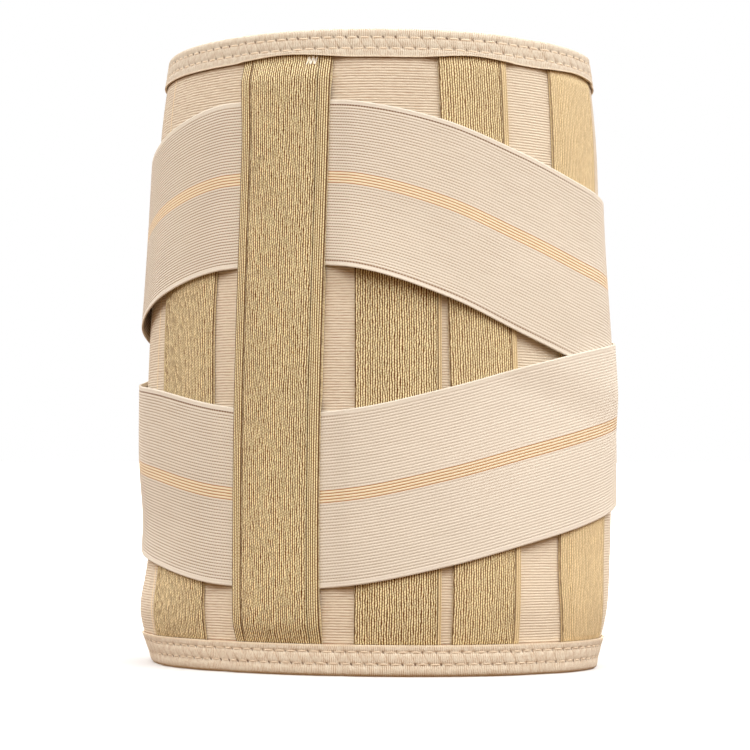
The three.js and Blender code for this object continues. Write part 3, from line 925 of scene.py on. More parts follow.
def cover_finish(settings, cover):
    """Woven tape: streaked upright wales that crinkle between the hems, fine floats along each, dark
    valleys, a duller weft in patches, pale hems, dark sewn grooves, and thin dark lines of painted shadow at
    some edges and under the trims' free edges, whose places are held by the mesh. Painted light from the
    floor makes the low end a little paler."""
    finish = Finish(cover["node"] + " weave", roughness=0.7, sheen=0.1)
    hem = finish.mark(HEM_NAME)
    inner = finish.range(hem, 1.0, 0.15)
    crinkle = finish.range(finish.noise(3.5 * MM, 1.8 * MM), -0.8, 0.8)
    wales = finish.over(finish.across, wale_pitch(settings, cover))
    phase = finish.plus(wales, 0.5, finish.times(crinkle, inner, 0.5))
    crest = finish.crest(phase)
    stagger = finish.times(finish.math("FLOOR", phase), 0.5)
    step = finish.over(finish.along, settings.float_length)
    bead = finish.crest(finish.plus(step, stagger, crinkle))
    floats = finish.range(finish.ease(bead, 0.8, 0.05), 1.0, 0.65)
    strong = finish.range(finish.patches(3 * MM, 1.1 * MM), 0.93, 1.05)
    light = finish.times(finish.ease(crest, 0.18, 0.72), floats, strong)
    weft = finish.times(finish.patches(6 * MM, 2.5 * MM), 0.3)
    ground = finish.blend(weft, settings.middle, settings.tint)
    colour = finish.blend(finish.ease(light, 0.0, 0.52), settings.dark, ground)
    colour = finish.blend(finish.ease(light, 0.45, 0.9), colour, settings.bright)
    colour = finish.blend(cover["calm"], colour, settings.smooth)
    colour = finish.blend(finish.times(hem, cover["pale"]), colour, settings.smooth)
    # Sewn grooves, with painted contact shadow at some edges and painted shadow under the trims, in the
    # groove colour
    broken = finish.range(finish.patches(4 * MM, 1 * MM), 0.6, 1.0)
    groove = finish.times(finish.mark(GROOVE_AND_SHADOW_MARK), broken)
    colour = finish.blend(groove, colour, settings.groove)
    colour = finish.mottle(colour, finish.noise(40 * MM, 15 * MM), 0.08)
    # Painted light from the floor makes the low end paler
    colour = finish.painted_floor_light(colour, finish.along, 1.08)
    return finish.done(colour, light, relief=0.12 * MM * flattened(cover))


def strap_finish(settings, name, first_stripe_rib, cloth):
    """Ribbed elastic: dashed lines between pale ribs, a flat selvage with a sewn line at each edge and a
    stripe of warm lines. cloth says how strong its ribs are towards either side, which paints shading of the
    ribs by light grazing them, and where its sewn lines come or go."""
    finish = Finish(name, roughness=0.85, sheen=0.12)
    phase = finish.over(finish.across, STRAP_WIDTH / settings.ribs)
    crest = finish.crest(phase)
    row = finish.math("FLOOR", finish.plus(phase, 0.5))
    wander = finish.times(finish.noise(12 * MM, 2 * MM), 0.8)
    dashes = finish.plus(finish.over(finish.along, settings.dash_length), wander, finish.times(row, 0.5))
    dash = finish.range(finish.ease(finish.crest(dashes), 0.1, 0.7), 0.6, 1.0)
    uneven = finish.range(finish.patches(18 * MM, 2.5 * MM), 0.76, 1.0)
    # Painted shading of the ribs: their lines are stronger towards -X, where the light grazes them
    side_shading = finish.range(finish.ease(finish.along, -60 * MM, 130 * MM), *cloth["ribs"])
    edge = finish.math("PINGPONG", finish.across, STRAP_WIDTH / 2)
    inside = finish.ease(edge, settings.selvage, settings.selvage + SELVAGE_RAMP)
    half_stripe = settings.stripe_ribs / 2
    from_middle = finish.apart(phase, first_stripe_rib + half_stripe)
    in_stripe = finish.ease(from_middle, half_stripe + 0.1, half_stripe - 0.1)
    on_lines = finish.ease(from_middle, half_stripe + 0.5, half_stripe + 0.3)
    rib = finish.blend(in_stripe, settings.rib, settings.stripe)
    gap = finish.blend(on_lines, settings.valley, settings.line)
    beside_lines = finish.minus(1.0, on_lines)
    valley = finish.times(finish.ease(crest, 0.58, 0.1), dash, uneven, side_shading, inside, beside_lines)
    stripe_valley = finish.times(finish.ease(crest, 0.56, 0.18), on_lines, 0.9)
    colour = finish.blend(finish.math("MAXIMUM", valley, stripe_valley), rib, gap)
    upper_half = finish.ease(finish.across, 0.4 * STRAP_WIDTH, 0.6 * STRAP_WIDTH)
    sewn = finish.range(upper_half, cloth["low_line"], 1.0)
    for start, end in cloth["sewn"]:
        sewn = finish.times(sewn, finish.ease(finish.along, start, end))
    from_line = finish.apart(edge, settings.selvage)
    line = finish.ease(from_line, SEWN_LINE_HALF_WIDTH, SEWN_LINE_HALF_WIDTH / 4)
    colour = finish.blend(finish.times(line, dash, sewn), colour, settings.groove)
    return finish.elastic(colour, crest, tone=(50 * MM, 30 * MM), depth=0.05, relief=0.05 * MM)


def pad_finish(settings):
    """Brushed loop cloth: small soft tufts over a duller ground."""
    finish = Finish("front pad brushed loop", roughness=0.95, sheen=0.25)
    tufts = finish.noise(0.9 * MM, 0.9 * MM, detail=3.0)
    colour = finish.blend(finish.ease(tufts, 0.55, 0.35), settings.cloth, settings.pile)
    colour = finish.mottle(colour, finish.noise(20 * MM, 20 * MM), 0.07)
    return finish.done(colour, tufts, relief=0.3 * MM)


def floor_finish(settings):
    """Plain pale floor with a very faint unevenness, lit to white away from the belt."""
    finish = Finish("pale floor", roughness=0.9, sheen=0.0)
    away = finish.nodes.new("ShaderNodeVectorMath")
    away.operation = "LENGTH"
    finish.fill(away.inputs[0], finish.flat)
    glow = finish.ease(away.outputs["Value"], *FLOOR_GLOW)
    finish.shader.inputs["Emission Color"].default_value = (1, 1, 1, 1)
    finish.fill(finish.shader.inputs["Emission Strength"], glow)
    tone = finish.noise(400 * MM, 400 * MM)
    return finish.done(finish.mottle((*settings.floor, 1), tone, 0.01), tone, relief=0.01 * MM)


def build_panel(settings):
    """The elastic panel: rows of ribs round the oval wall, cut as valleys into its outer face, with one
    thin upright seam. Height runs evenly from the lower to the upper edge at every angle."""
    ribs = round((HEIGHT - 2 * PANEL_INSET) / settings.rib_pitch)
    phase = np.linspace(0, ribs, ribs * SAMPLES_PER_RIB + 1)[:, None]
    beside_seam = settings.seam_angle + degrees_for(
        settings.seam_width * np.linspace(-1.2, 1.2, 7), settings.seam_angle, HEIGHT)
    even = np.linspace(PANEL_START, PANEL_END, PANEL_COLUMNS)
    angle = np.sort(np.concatenate([even, beside_seam]))[None, :]
    along = wall_length(angle, HEIGHT / 2)
    waver = PANEL_WAVER * ripple(along, phase * settings.rib_pitch, PANEL_WAVE, seed=1)
    reach = top_edge(angle) - 2 * PANEL_INSET
    height = PANEL_INSET + reach * phase / ribs + waver * np.sin(np.pi * phase / ribs)
    seam = hump(along, wall_length(settings.seam_angle, HEIGHT / 2), settings.seam_width / 2)
    offset = front_step(angle) - settings.rib_depth * trough(phase) * (1 - seam) + SEAM_RISE * seam
    inner_share = np.linspace(0, 1, INNER_ROWS)[:, None]
    inner_height = PANEL_INSET + reach * inner_share
    piece = slab(
        "panel_cloth",
        on_wall(angle, height, offset),
        on_wall(angle, inner_height, front_step(angle) - PANEL_WALL),
        pair(along, phase * settings.rib_pitch),
        pair(along, inner_share * ribs * settings.rib_pitch),
        # Painted shadow under the trims' free edges
        {GROOVE_AND_SHADOW_MARK: painted_trim_shadow(angle, height)},
    )
    settle(piece, panel_finish(settings), "body_panel")
    return piece


def trim_profile(leg, near, far, rows_of, inset):
    """Fold of a trim from its outside free edge over the rolled edge to its inside free edge.

    Returns offsets, distances from the finished edge and signed places on the flat strip. The two
    legs are straight, and half a squarish ellipse, whose sine and cosine are raised to a power, joins
    them; inset moves the whole path into the cloth.
    """
    to_far, to_near, to_roll, round_roll, inside = rows_of
    outside_leg = np.concatenate([
        np.linspace(leg, far, to_far, endpoint=False),
        np.linspace(far, near, to_near, endpoint=False),
        np.linspace(near, TRIM_ROLL, to_roll, endpoint=False),
    ])
    turn = np.linspace(0, np.pi, round_roll)
    inside_leg = np.linspace(TRIM_ROLL, leg - TRIM_INSIDE_SHORTER, inside + 1)[1:]
    middle = (TRIM_FACE + TRIM_BACK) / 2
    reach = (TRIM_FACE - TRIM_BACK) / 2 - inset
    power = 2 / TRIM_SQUARENESS
    aside = np.sign(np.cos(turn)) * np.abs(np.cos(turn)) ** power
    upward = np.abs(np.sin(turn)) ** power
    offsets = np.concatenate([
        np.full(outside_leg.size, middle + reach),
        middle + reach * aside,
        np.full(inside_leg.size, middle - reach),
    ])
    distances = np.concatenate([outside_leg, TRIM_ROLL - (TRIM_ROLL - inset) * upward, inside_leg])
    places = np.concatenate([outside_leg, TRIM_ROLL * (1 - 2 * turn / np.pi), -inside_leg])
    return offsets[:, None], distances[:, None], places[:, None]


def trim_relief(settings, trim, along, place):
    """Relief of a trim's outside leg: each row of stitches pulls the cloth in, a dimple marks each needle
    hole and slanted creases join the rows."""
    near, far = trim["rows"]
    stitches = along / settings.stitch_pitch
    rows = hump(place, near, ROW_HALF_WIDTH) + hump(place, far, ROW_HALF_WIDTH)
    relief = -settings.stitch_sink * rows
    for row, shift in ((near, 0.0), (far, 0.5)):
        beside = (np.mod(stitches + shift + 0.5, 1) - 0.5) * settings.stitch_pitch
        relief = relief - settings.hole_depth * hump(np.hypot(beside, place - row), 0, HOLE_HALF_WIDTH)
    down = (place - near) / (far - near)
    slant = (np.mod(stitches + trim["lean"] * down + 0.5, 1) - 0.5) * settings.stitch_pitch
    between = ease(-0.05, 0.15, down) * (1 - ease(0.85, 1.05, down))
    relief = relief - settings.crease_depth * hump(slant, 0, CREASE_HALF_WIDTH) * between
    soft = TRIM_SOFTNESS * ripple(along, place, TRIM_SOFT_WAVE, trim["seed"])
    return (relief + soft) * ease(TRIM_ROLL * 0.2, TRIM_ROLL, place)


def over_covers(trim, angle):
    """1 where a cover runs under a trim and 0 beside it, with a short ramp between."""
    lift = np.zeros_like(angle)
    for cover in (*STAY_COVERS, SPINE_COVER):
        if not (trim["top"] and cover["top"]):
            middle = cover_middle(cover, trim["edge"])
            half = degrees_for(cover["width"] / 2, middle, trim["edge"])
            lift = np.maximum(lift, 1 - ease(half, half + TRIM_COVER_RAMP, np.abs(angle - middle)))
    return lift


def trim_points(trim, angle, offset, distance, place):
    """Points of a trim: a distance from its finished edge, settled onto the panel beside the covers, with
    the outside free edge raised over them."""
    settled = TRIM_SETTLES * (1 - over_covers(trim, angle))
    offset = offset - settled * (offset - TRIM_BACK) / (TRIM_FACE - TRIM_BACK)
    if not trim["top"]:
        return on_wall(angle, distance, front_step(angle) + offset)
    raised = distance - trim_rise(angle) * ease(trim["rows"][1], trim["leg"], place)
    return on_wall(angle, top_edge(angle) - raised, front_step(angle) + offset)


def build_trim(settings, trim):
    """A folded strip carried along one edge of the panel, with its relief on the outside leg."""
    near, far = trim["rows"]
    step = settings.stitch_pitch / SAMPLES_PER_STITCH
    start, end = wall_length(np.array([PANEL_START, PANEL_END]), trim["edge"])
    along = np.arange(math.ceil(start / step), math.floor(end / step) + 1)[None, :] * step
    angle = angle_at(along, trim["edge"])
    outer = trim_profile(trim["leg"], near, far, TRIM_FACE_ROWS, 0.0)
    inner = trim_profile(trim["leg"], near, far, TRIM_UNDER_ROWS, TRIM_THICKNESS)
    if not trim["top"]:
        outer = [rows[::-1] for rows in outer]
        inner = [rows[::-1] for rows in inner]
    offset, distance, place = outer
    offset = offset + trim_relief(settings, trim, along, place)
    waver = TRIM_EDGE_WAVER * ripple(along, 0, TRIM_EDGE_WAVE, trim["seed"] + SEED_STEP)
    wave = waver * ease(far, trim["leg"], place)
    piece = slab(
        trim["node"] + "_cloth",
        trim_points(trim, angle, offset, distance + wave, place),
        trim_points(trim, angle, *inner),
        pair(along, place),
        pair(along, inner[2]),
    )
    settle(piece, trim_finish(settings, trim), trim["node"])
    return piece


def build_stitches(settings, trim, finish):
    """Sewing thread of a trim: a short flat thread from hole to hole in each row, arched over the cloth by a
    power of a sine and dipping into the holes."""
    start, end = wall_length(np.array([PANEL_START, PANEL_END]), trim["edge"]) / settings.stitch_pitch
    count = np.arange(math.ceil(start) + 1, math.floor(end) - 1)
    share = np.linspace(0, 1, SAMPLES_PER_THREAD)[None, :]
    starts = np.concatenate([count, count + 0.5])[:, None]
    rows = np.repeat(trim["rows"], count.size)[:, None]
    jitter = np.random.default_rng(trim["seed"]).uniform(-1, 1, (2, starts.size))[..., None]
    arch = np.sin(np.pi * share)
    along = (starts + STITCH_GAP + (1 - 2 * STITCH_GAP) * share) * settings.stitch_pitch
    place = rows + STITCH_BOW * ((1 + jitter[0]) * arch + jitter[1] * (share - 0.5))
    lift = TRIM_FACE - settings.stitch_sink + STITCH_ARCH * arch ** 0.6 - STITCH_DIP
    radius = settings.thread_radius * (0.3 + 0.7 * arch ** 0.5)

    def to_points(ring_along, ring_place, ring_offset):
        """Points of the trim at places on its flat cloth."""
        return trim_points(trim, angle_at(ring_along, trim["edge"]), ring_offset, ring_place, ring_place)

    lift, radius, _ = np.broadcast_arrays(lift, radius, along)
    piece = thread(trim["node"] + "_stitches", along, place, lift, radius, to_points, trim["top"])
    return settle(piece, finish)


def cover_middle(cover, height):
    """Angle of a cover's middle line: it leans from its low to its high angle, and a bell curve sways it."""
    middle = cover["low"] + (cover["high"] - cover["low"]) * height / HEIGHT
    if cover["sway"]:
        angle, at, reach = cover["sway"]
        middle = middle + angle * hump(height, at, reach)
    return middle


def cover_angle(cover, share, height):
    """Angle of a point of a cover, across from its middle line. The spine cover's left edge spreads under
    the top trim."""
    middle = cover_middle(cover, height)
    aside = cover["width"] * (share - 0.5)
    if cover is SPINE_COVER:
        aside = aside - SPREAD["width"] * (1 - share) * ease(SPREAD["from"], SPREAD["full"], height)
    return middle + degrees_for(aside, middle, height)


def regained(height, edge, full):
    """Share of its full thickness that a cover has regained at a distance from the trims."""
    return np.minimum(ease(PRESSED_STRETCH, full, height), ease(PRESSED_STRETCH, full, edge - height))


def over_strap_ends(height):
    """Lift of the spine cover's underside: 1 over the strap ends and 0 where it meets the panel."""
    lift = np.zeros_like(height)
    for name in ("lower_left_strap", "upper_left_strap"):
        low = STRAP_EDGES[name][0][0] * MM - STRAP_END_CLEARANCE
        high = STRAP_EDGES[name][1][0] * MM + STRAP_END_CLEARANCE
        band = np.minimum(
            ease(low - STRAP_END_RAMP, low, height), 1 - ease(high, high + STRAP_END_RAMP, height))
        lift = np.maximum(lift, band)
    return lift


def trim_rise(angle):
    """How far the covers push the free edge of the top trim up: the sum of their bell curves."""
    return sum(size * hump(angle, middle, reach) for middle, reach, size in TRIM_RISES)


def trim_ends(angle):
    """Heights at which the outside legs of the top and the bottom trim end."""
    top, bottom = TRIMS
    return top_edge(angle) - top["leg"] + trim_rise(angle), bottom["leg"]


def painted_trim_shadow(angle, height):
    """Mark of the painted shadow under a trim's free edge: 1 at the edge and 0 a little away from it."""
    top, bottom = trim_ends(angle)
    return np.clip(hump(height, top, TRIM_SHADOW_HALF_WIDTH) + hump(height, bottom, TRIM_SHADOW_HALF_WIDTH), 0, 1)


def wale_pitch(settings, cover):
    """Width of one wale of a cover, so that a whole number of them fills its width."""
    return cover["width"] / round(cover["width"] / settings.wale_pitch)


def cover_weave(settings, cover, share, height):
    """Relief of a cover's face, with the marks of its grooves and hems: valleys between upright wales,
    floats that rise and dip along each wale in staggered rows, a groove beside each edge and a hem outside
    it. A groove right at an edge also marks a thin line of painted contact shadow; the others are sewn."""
    place = share * cover["width"]
    phase = place / wale_pitch(settings, cover) + 0.5
    stitch = height / settings.stitch_length + 0.5 * np.floor(phase)
    uneven = 1 + WALE_UNEVENNESS * ripple(place, height * WALE_STREAK, WALE_WAVE, cover["seed"])
    depth = settings.wale_depth * flattened(cover)
    relief = -depth * trough(phase) * uneven
    relief = relief - FLOAT_SHARE * depth * trough(stitch) * (1 - trough(phase))
    lines = [groove if groove > 0 else cover["width"] + groove for groove in cover["grooves_and_shadow_lines"]]
    grooves_and_shadow_lines = sum(hump(place, line, GROOVE_HALF_WIDTH) for line in lines)
    left = max(line for line in lines if line < cover["width"] / 2)
    right = min(line for line in lines if line > cover["width"] / 2)
    hems = ease(left, left - HEM_RAMP, place) + ease(right, right + HEM_RAMP, place)
    return relief - GROOVE_DEPTH * grooves_and_shadow_lines, {GROOVE_AND_SHADOW_MARK: np.clip(grooves_and_shadow_lines, 0, 1), HEM_NAME: hems}


def cover_face(share, height, angle, ride):
    """Offset of a cover's face before its weave: its section, pressed flat under the trims, and its ride
    over the strap ends."""
    edge = top_edge(angle)
    section = np.interp(np.minimum(share, 1 - share), COVER_SHARES, COVER_THICKNESSES)
    pressed = np.minimum(section, COVER_PRESSED)
    thickness = pressed + (section - pressed) * regained(height, edge, UNPRESSED_STRETCH)
    return GAP + thickness + ride * regained(height, edge, SPINE_COVER_FULL)


def build_cover(settings, cover, ride=0.0):
    """A woven cover: its section carried up the wall along its leaning middle line. ride lifts the face
    between the trims, and the underside only over the strap ends."""
    wales = round(cover["width"] / wale_pitch(settings, cover))
    share = np.linspace(0, 1, wales * SAMPLES_PER_RIB + 1)[None, :]
    top = cover["top"] or top_edge(cover["high"]) - COVER_END_INSET
    rows = round((top - COVER_END_INSET) / (settings.stitch_length / 2))
    even = np.linspace(COVER_END_INSET, top, rows + 1)
    # Extra rows at the trims' free edges hold the painted shadow there
    beside_trims = np.add.outer(trim_ends(cover["high"]), np.linspace(-2, 2, 9) * TRIM_SHADOW_HALF_WIDTH).ravel()
    height = np.sort(np.concatenate([even, beside_trims[beside_trims < top]]))[:, None]
    under = np.linspace(COVER_END_INSET, top, COVER_INNER_ROWS * (2 if ride else 1))[:, None]
    place = share * cover["width"]
    waver = ripple(height * WAVER_STREAK, place, WAVER_WAVE, cover["seed"] + SEED_STEP)
    aside = settings.waver * waver * np.sin(np.pi * share) / cover["width"]
    angle = cover_angle(cover, share + aside, height)
    relief, marks = cover_weave(settings, cover, share, height)
    # Painted shadow under the trims' free edges joins the mark of the grooves
    marks[GROOVE_AND_SHADOW_MARK] = np.maximum(marks[GROOVE_AND_SHADOW_MARK], TRIM_SHADOW_DARKNESS * painted_trim_shadow(angle, height))
    beside = np.minimum(share, 1 - share) * cover["width"]
    face = cover_face(share, height, angle, ride)
    rounded = COVER_EDGE_DROP * (1 - rounding(beside))
    piece = slab(
        cover["node"] + "_weave",
        on_wall(angle, height, face + relief - rounded),
        on_wall(cover_angle(cover, share, under), under, GAP + ride * over_strap_ends(under)),
        pair(height, place),
        pair(under, place),
        marks,
    )
    settle(piece, cover_finish(settings, cover), cover["node"])
    return piece


def build_tack(settings, ride):
    """The bar-tack: one white thread that swings up and down as a cosine while it moves along the cover."""
    swing = np.linspace(0, TACK["strokes"], SAMPLES_PER_STROKE * TACK["strokes"] + 1)[None, :]
    along = TACK["left"] + TACK["width"] * swing / TACK["strokes"]
    height = TACK["low"] + TACK["height"] * (0.5 - 0.5 * np.cos(np.pi * swing))
    share = along / SPINE_COVER["width"]
    offset = cover_face(share, height, cover_angle(SPINE_COVER, share, height), ride)

    def to_points(ring_along, ring_height, ring_offset):
        """Points over the spine cover at distances from its left edge."""
        angle = cover_angle(SPINE_COVER, ring_along / SPINE_COVER["width"], ring_height)
        return on_wall(angle, ring_height, ring_offset)

    radius = np.full_like(along, TACK_RADIUS)
    piece = thread("bar_tack", along, height, offset + TACK_RADIUS / 2, radius, to_points)
    finish = thread_finish("bar-tack thread", settings.smooth, settings.tack)
    return settle(piece, finish)


def strap_edge(name, edge, angle):
    """Height of a strap's low or high edge at an angle from the spine."""
    return curve_through(STRAP_ANGLES, np.array(STRAP_EDGES[name][edge]) * MM, angle)


def strap_ride(angle):
    """How far a strap's inner face rides off the panel: low at the spine, over the covers, settled past
    the last of them, then over the step at the front."""
    climb = (RIDE_OVER_COVERS - GAP) * ease(CLIMB_STARTS, CLIMB_ENDS, angle)
    settled = ease(SETTLING["from"], SETTLING["full"], angle)
    settled = settled - ease(SETTLING["until"], SETTLING["end"], angle)
    step = FRONT_STEP * ease(STEP_STARTS, STEP_ENDS, angle)
    return GAP + climb - SETTLING["drop"] * settled + step


def strap_flare(strap, angle, near_edge):
    """How far a strap stands off near its free edge: the square of a sine along it, times the cube of the
    nearness to that edge."""
    along = np.clip((angle - strap["from"]) / (strap["to"] - strap["from"]), 0, 1)
    return strap["flare"] * np.sin(np.pi * along ** strap["skew"]) ** 2 * near_edge ** 3


def strap_points(strap, angle, share, lift):
    """Points of a strap: its share of the way from the low to the high edge, riding off the panel with a
    flared free edge. A lower strap climbs over the upper one, and its flare, where they cross."""
    low = strap_edge(strap["node"], 0, angle)
    high = strap_edge(strap["node"], 1, angle)
    height = low + (high - low) * share
    near_edge = 1 - share if strap["upper"] else share
    offset = strap_ride(angle) + strap_flare(strap, angle, near_edge) + lift
    if not strap["upper"]:
        over = next(other for other in STRAPS if other["upper"] and other["side"] == strap["side"])
        over_low = strap_edge(over["node"], 0, angle)
        over_share = (height - over_low) / (strap_edge(over["node"], 1, angle) - over_low)
        climb = STRAP_THICKNESS + GAP + strap_flare(over, angle, 1 - np.clip(over_share, 0, 1))
        full = over_low - CROSSING_LEAD
        offset = offset + climb * ease(full - CROSSING_RAMP, full, height)
    return on_wall(strap["side"] * angle, height, offset)


def build_strap(settings, strap, finish):
    """An elastic strap: ribs across its width carried round the wall, with rounded edges and a sewn groove
    beside each flat selvage."""
    share = np.linspace(0, 1, settings.ribs * SAMPLES_PER_RIB + 1)[:, None]
    at_spine = np.linspace(STRAP_FIRST, STRAP_FINE_UNTIL, STRAP_COLUMNS_AT_SPINE, endpoint=False)
    onward = np.linspace(STRAP_FINE_UNTIL, STRAP_LAST, STRAP_COLUMNS)
    angle = np.concatenate([at_spine, onward])[None, ::strap["side"]]
    place = share * STRAP_WIDTH
    edge = np.minimum(place, STRAP_WIDTH - place)
    inside = ease(settings.selvage, settings.selvage + SELVAGE_RAMP, edge)
    relief = settings.rib_depth * trough(share * settings.ribs) * inside
    relief = relief + SEWN_LINE_DEPTH * hump(edge, settings.selvage, SEWN_LINE_HALF_WIDTH)
    face = (STRAP_THICKNESS - relief) * (1 - STRAP_EDGE_DROP * (1 - rounding(edge)))
    under = np.linspace(0, 1, INNER_ROWS)[:, None]
    under_edge = np.minimum(under, 1 - under) * STRAP_WIDTH
    back = STRAP_THICKNESS * STRAP_BACK_DROP * (1 - rounding(under_edge))
    along = strap["side"] * wall_length(angle, HEIGHT / 2)
    piece = slab(
        strap["node"] + "_elastic",
        strap_points(strap, angle, share, face),
        strap_points(strap, angle, under, back),
        pair(along, place),
        pair(along, under * STRAP_WIDTH),
    )
    settle(piece, finish, strap["node"])
    return piece


def build_pad(settings):
    """The plain front pad: a rounded rectangle on the wall, crowned in the middle, with a sewn line set in
    from its edge. Each row is as wide as the corner's circle leaves it."""
    across = np.linspace(-1, 1, PAD_COLUMNS)[None, :]
    upward = 0.5 - 0.5 * np.cos(np.linspace(0, np.pi, PAD_ROWS))[:, None]
    height = PAD_LOW + (PAD_HIGH - PAD_LOW) * upward
    middle = (PAD_START + PAD_END) / 2

    def angle_for(rows):
        """Angles across the pad at those heights: the half angle less what the corner's circle takes."""
        into_corner = np.maximum(0, PAD_CORNER - np.minimum(rows - PAD_LOW, PAD_HIGH - rows))
        inset = PAD_CORNER - np.sqrt(np.maximum(PAD_CORNER ** 2 - into_corner ** 2, 0))
        half_angle = (PAD_END - PAD_START) / 2 - degrees_for(inset, middle, rows)
        return middle + across * half_angle

    angle = angle_for(height)
    along = wall_length(angle, (PAD_LOW + PAD_HIGH) / 2)
    half = (along[:, -1:] - along[:, :1]) / 2
    edge = np.minimum(half * (1 - np.abs(across)), np.minimum(height - PAD_LOW, PAD_HIGH - height))
    hem = settings.hem_depth * hump(edge, settings.hem, PAD_HEM_HALF_WIDTH)
    face = (PAD_THICKNESS - hem) * (0.5 + 0.5 * rounding(edge / 2))
    under = np.linspace(PAD_LOW, PAD_HIGH, INNER_ROWS)[:, None]
    under_angle = angle_for(under)
    piece = slab(
        "front_pad_cloth",
        on_wall(angle, height, PAD_RIDE + face),
        on_wall(under_angle, under, PAD_RIDE),
        pair(along, height),
        pair(wall_length(under_angle, (PAD_LOW + PAD_HIGH) / 2), under),
    )
    settle(piece, pad_finish(settings), "front_closure_pad")
    return piece


def build_floor(settings):
    """A wide flat square under the belt, which throws no light back onto it."""
    reach = np.linspace(-FLOOR_REACH, FLOOR_REACH, FLOOR_POINTS)
    x, y = np.meshgrid(reach, reach)
    points = np.stack([x, y, np.full_like(x, -FLOOR_DROP)], axis=-1)
    numbers = np.arange(x.size).reshape(x.shape)
    no_triangles = np.zeros((0, 3), int)
    piece = put_mesh(
        "floor", points.reshape(-1, 3), pair(x, y).reshape(-1, 2), grid_quads(numbers), no_triangles)
    piece.data.materials.append(floor_finish(settings))
    piece.visible_diffuse = False
    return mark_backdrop(piece)


def build_light(settings):
    """A large square key light at an angle from the belt's axis, turned to face the belt."""
    lamp = bpy.data.lights.new("key light", "AREA")
    lamp.size = KEY_LIGHT["size"]
    lamp.energy = settings.key_power
    light = bpy.data.objects.new("key light", lamp)
    turn = math.radians(KEY_LIGHT["azimuth"])
    rise = math.radians(KEY_LIGHT["elevation"])
    target = Vector((CENTRE_X, CENTRE_Y, HEIGHT / 2))
    direction = Vector((math.sin(turn) * math.cos(rise), -math.cos(turn) * math.cos(rise), math.sin(rise)))
    light.location = target + KEY_LIGHT["distance"] * direction
    light.rotation_euler = (-direction).to_track_quat("-Z", "Y").to_euler()
    bpy.context.scene.collection.objects.link(light)


def build_surround(settings):
    """A surround that shows white, and lights the belt mostly from a soft white band well above the horizon,
    as a ring of studio lights does."""
    world = bpy.data.worlds.new("white surround")
    world.use_nodes = True
    sky = Nodes(world.node_tree)
    place = sky.nodes.new("ShaderNodeTexCoord")
    split = sky.nodes.new("ShaderNodeSeparateXYZ")
    sky.fill(split.inputs[0], place.outputs["Generated"])
    height = split.outputs["Z"]
    light = sky.between(sky.ease(height, *HORIZON), settings.surround_below, settings.surround)
    light = sky.between(sky.ease(height, *BAND_STARTS), light, settings.band)
    light = sky.between(sky.ease(height, *BAND_ENDS), light, settings.surround)
    seen = sky.nodes.new("ShaderNodeLightPath").outputs["Is Camera Ray"]
    tint = sky.nodes.new("ShaderNodeCombineColor")
    for socket, share in zip(tint.inputs, settings.tint):
        tinted = sky.between(sky.ease(height, *TINT_ENDS), share, 1.0)
        sky.fill(socket, sky.between(seen, tinted, 1.0))
    background = sky.nodes["Background"]
    sky.fill(background.inputs["Color"], tint.outputs[0])
    sky.fill(background.inputs["Strength"], sky.between(seen, light, 1.0))
    bpy.context.scene.world = world


def build_camera(settings):
    """A long lens low in front of the spine, turned towards +X and looking slightly up."""
    camera = bpy.data.cameras.new("camera")
    camera.lens = settings.lens
    holder = bpy.data.objects.new("camera", camera)
    aim = Vector((CENTRE_X, CENTRE_Y, settings.aim_height))
    holder.location = (
        CENTRE_X + settings.distance * math.sin(settings.azimuth),
        CENTRE_Y - settings.distance * math.cos(settings.azimuth),
        settings.camera_height,
    )
    holder.rotation_euler = (aim - holder.location).to_track_quat("-Z", "Y").to_euler()
    bpy.context.scene.collection.objects.link(holder)
    bpy.context.scene.camera = holder


class BELT_OT_panel(bpy.types.Operator):
    """Builds the elastic panel"""

    bl_idname = "belt.panel"
    bl_label = "Elastic Panel"

    def execute(self, context):
        build_panel(context.scene.belt_panel)
        return {"FINISHED"}


class BELT_OT_trims(bpy.types.Operator):
    """Builds the folded trims of the two edges with their stitches"""

    bl_idname = "belt.trims"
    bl_label = "Edge Trims"

    def execute(self, context):
        settings = context.scene.belt_trim
        sewing = thread_finish("sewing thread", settings.valley, settings.thread)
        for trim in TRIMS:
            build_trim(settings, trim)
            build_stitches(settings, trim, sewing)
        return {"FINISHED"}


class BELT_OT_covers(bpy.types.Operator):
    """Builds the woven covers of the stays and the bar-tack"""

    bl_idname = "belt.covers"
    bl_label = "Stay Covers"

    def execute(self, context):
        settings = context.scene.belt_cover
        for cover in STAY_COVERS:
            build_cover(settings, cover)
        build_cover(settings, SPINE_COVER, SPINE_COVER_RIDE)
        build_tack(settings, SPINE_COVER_RIDE)
        return {"FINISHED"}


class BELT_OT_straps(bpy.types.Operator):
    """Builds the four elastic straps"""

    bl_idname = "belt.straps"
    bl_label = "Elastic Straps"

    def execute(self, context):
        settings = context.scene.belt_strap
        upper = strap_finish(settings, "upper strap elastic", settings.upper_stripe, UPPER_CLOTH)
        lower = strap_finish(settings, "lower strap elastic", settings.lower_stripe, LOWER_CLOTH)
        for strap in STRAPS:
            build_strap(settings, strap, upper if strap["upper"] else lower)
        return {"FINISHED"}


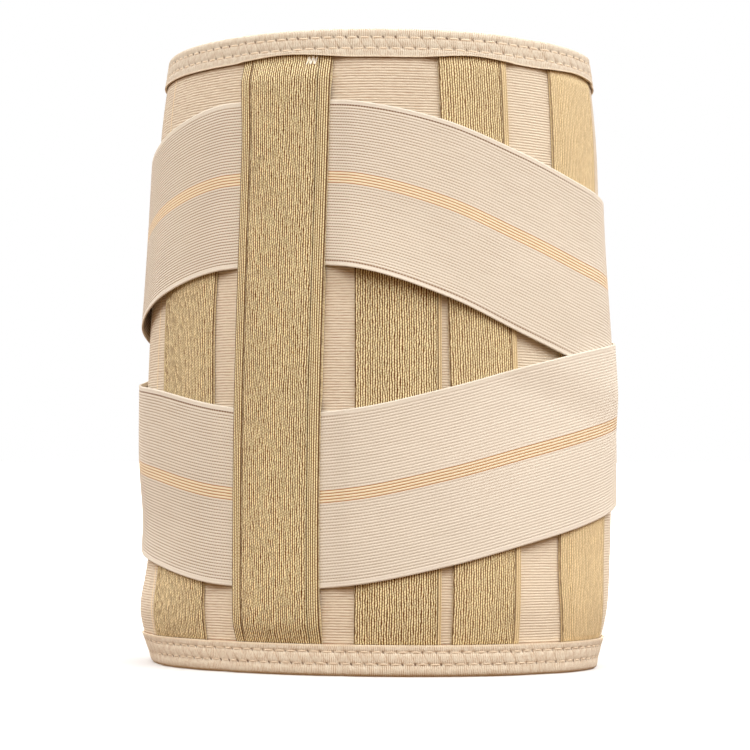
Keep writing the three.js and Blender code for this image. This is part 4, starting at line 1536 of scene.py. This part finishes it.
class BELT_OT_pad(bpy.types.Operator):
    """Builds the plain pad over the strap ends"""

    bl_idname = "belt.pad"
    bl_label = "Front Pad"

    def execute(self, context):
        build_pad(context.scene.belt_pad)
        return {"FINISHED"}


class BELT_OT_stage(bpy.types.Operator):
    """Builds the floor, the light and the camera"""

    bl_idname = "belt.stage"
    bl_label = "Stage"

    def execute(self, context):
        settings = context.scene.belt_stage
        build_floor(settings)
        build_surround(settings)
        build_light(settings)
        build_camera(settings)
        context.scene.view_settings.view_transform = "Standard"
        return {"FINISHED"}


class BELT_PT_sidebar(bpy.types.Panel):
    """Lists the steps that build the belt, with the settings of each"""

    bl_idname = "BELT_PT_sidebar"
    bl_label = "Support Belt"
    bl_space_type = "VIEW_3D"
    bl_region_type = "UI"
    bl_category = "Support Belt"

    def draw(self, context):
        for operator, settings in STEPS:
            box = self.layout.box()
            box.operator(operator.bl_idname)
            group = getattr(context.scene, settings)
            for name in group.__annotations__:
                box.prop(group, name)


STEPS = (
    (BELT_OT_stage, "belt_stage"),
    (BELT_OT_panel, "belt_panel"),
    (BELT_OT_trims, "belt_trim"),
    (BELT_OT_covers, "belt_cover"),
    (BELT_OT_straps, "belt_strap"),
    (BELT_OT_pad, "belt_pad"),
)
SETTINGS = {
    "belt_stage": StageSettings,
    "belt_panel": PanelSettings,
    "belt_trim": TrimSettings,
    "belt_cover": CoverSettings,
    "belt_strap": StrapSettings,
    "belt_pad": PadSettings,
}
CLASSES = (*SETTINGS.values(), *(operator for operator, _ in STEPS), BELT_PT_sidebar)


def register():
    """Adds the classes to Blender and the settings to its scenes."""
    for cls in CLASSES:
        bpy.utils.register_class(cls)
    for name, group in SETTINGS.items():
        setattr(bpy.types.Scene, name, PointerProperty(type=group))


def unregister():
    """Takes the settings and the classes out again."""
    for name in SETTINGS:
        delattr(bpy.types.Scene, name)
    for cls in reversed(CLASSES):
        bpy.utils.unregister_class(cls)


def main():
    """Builds the stage and every piece in order."""
    register()
    bpy.ops.belt.stage()
    bpy.ops.belt.panel()
    bpy.ops.belt.trims()
    bpy.ops.belt.covers()
    bpy.ops.belt.straps()
    bpy.ops.belt.pad()


if __name__ == "__main__":
    main()
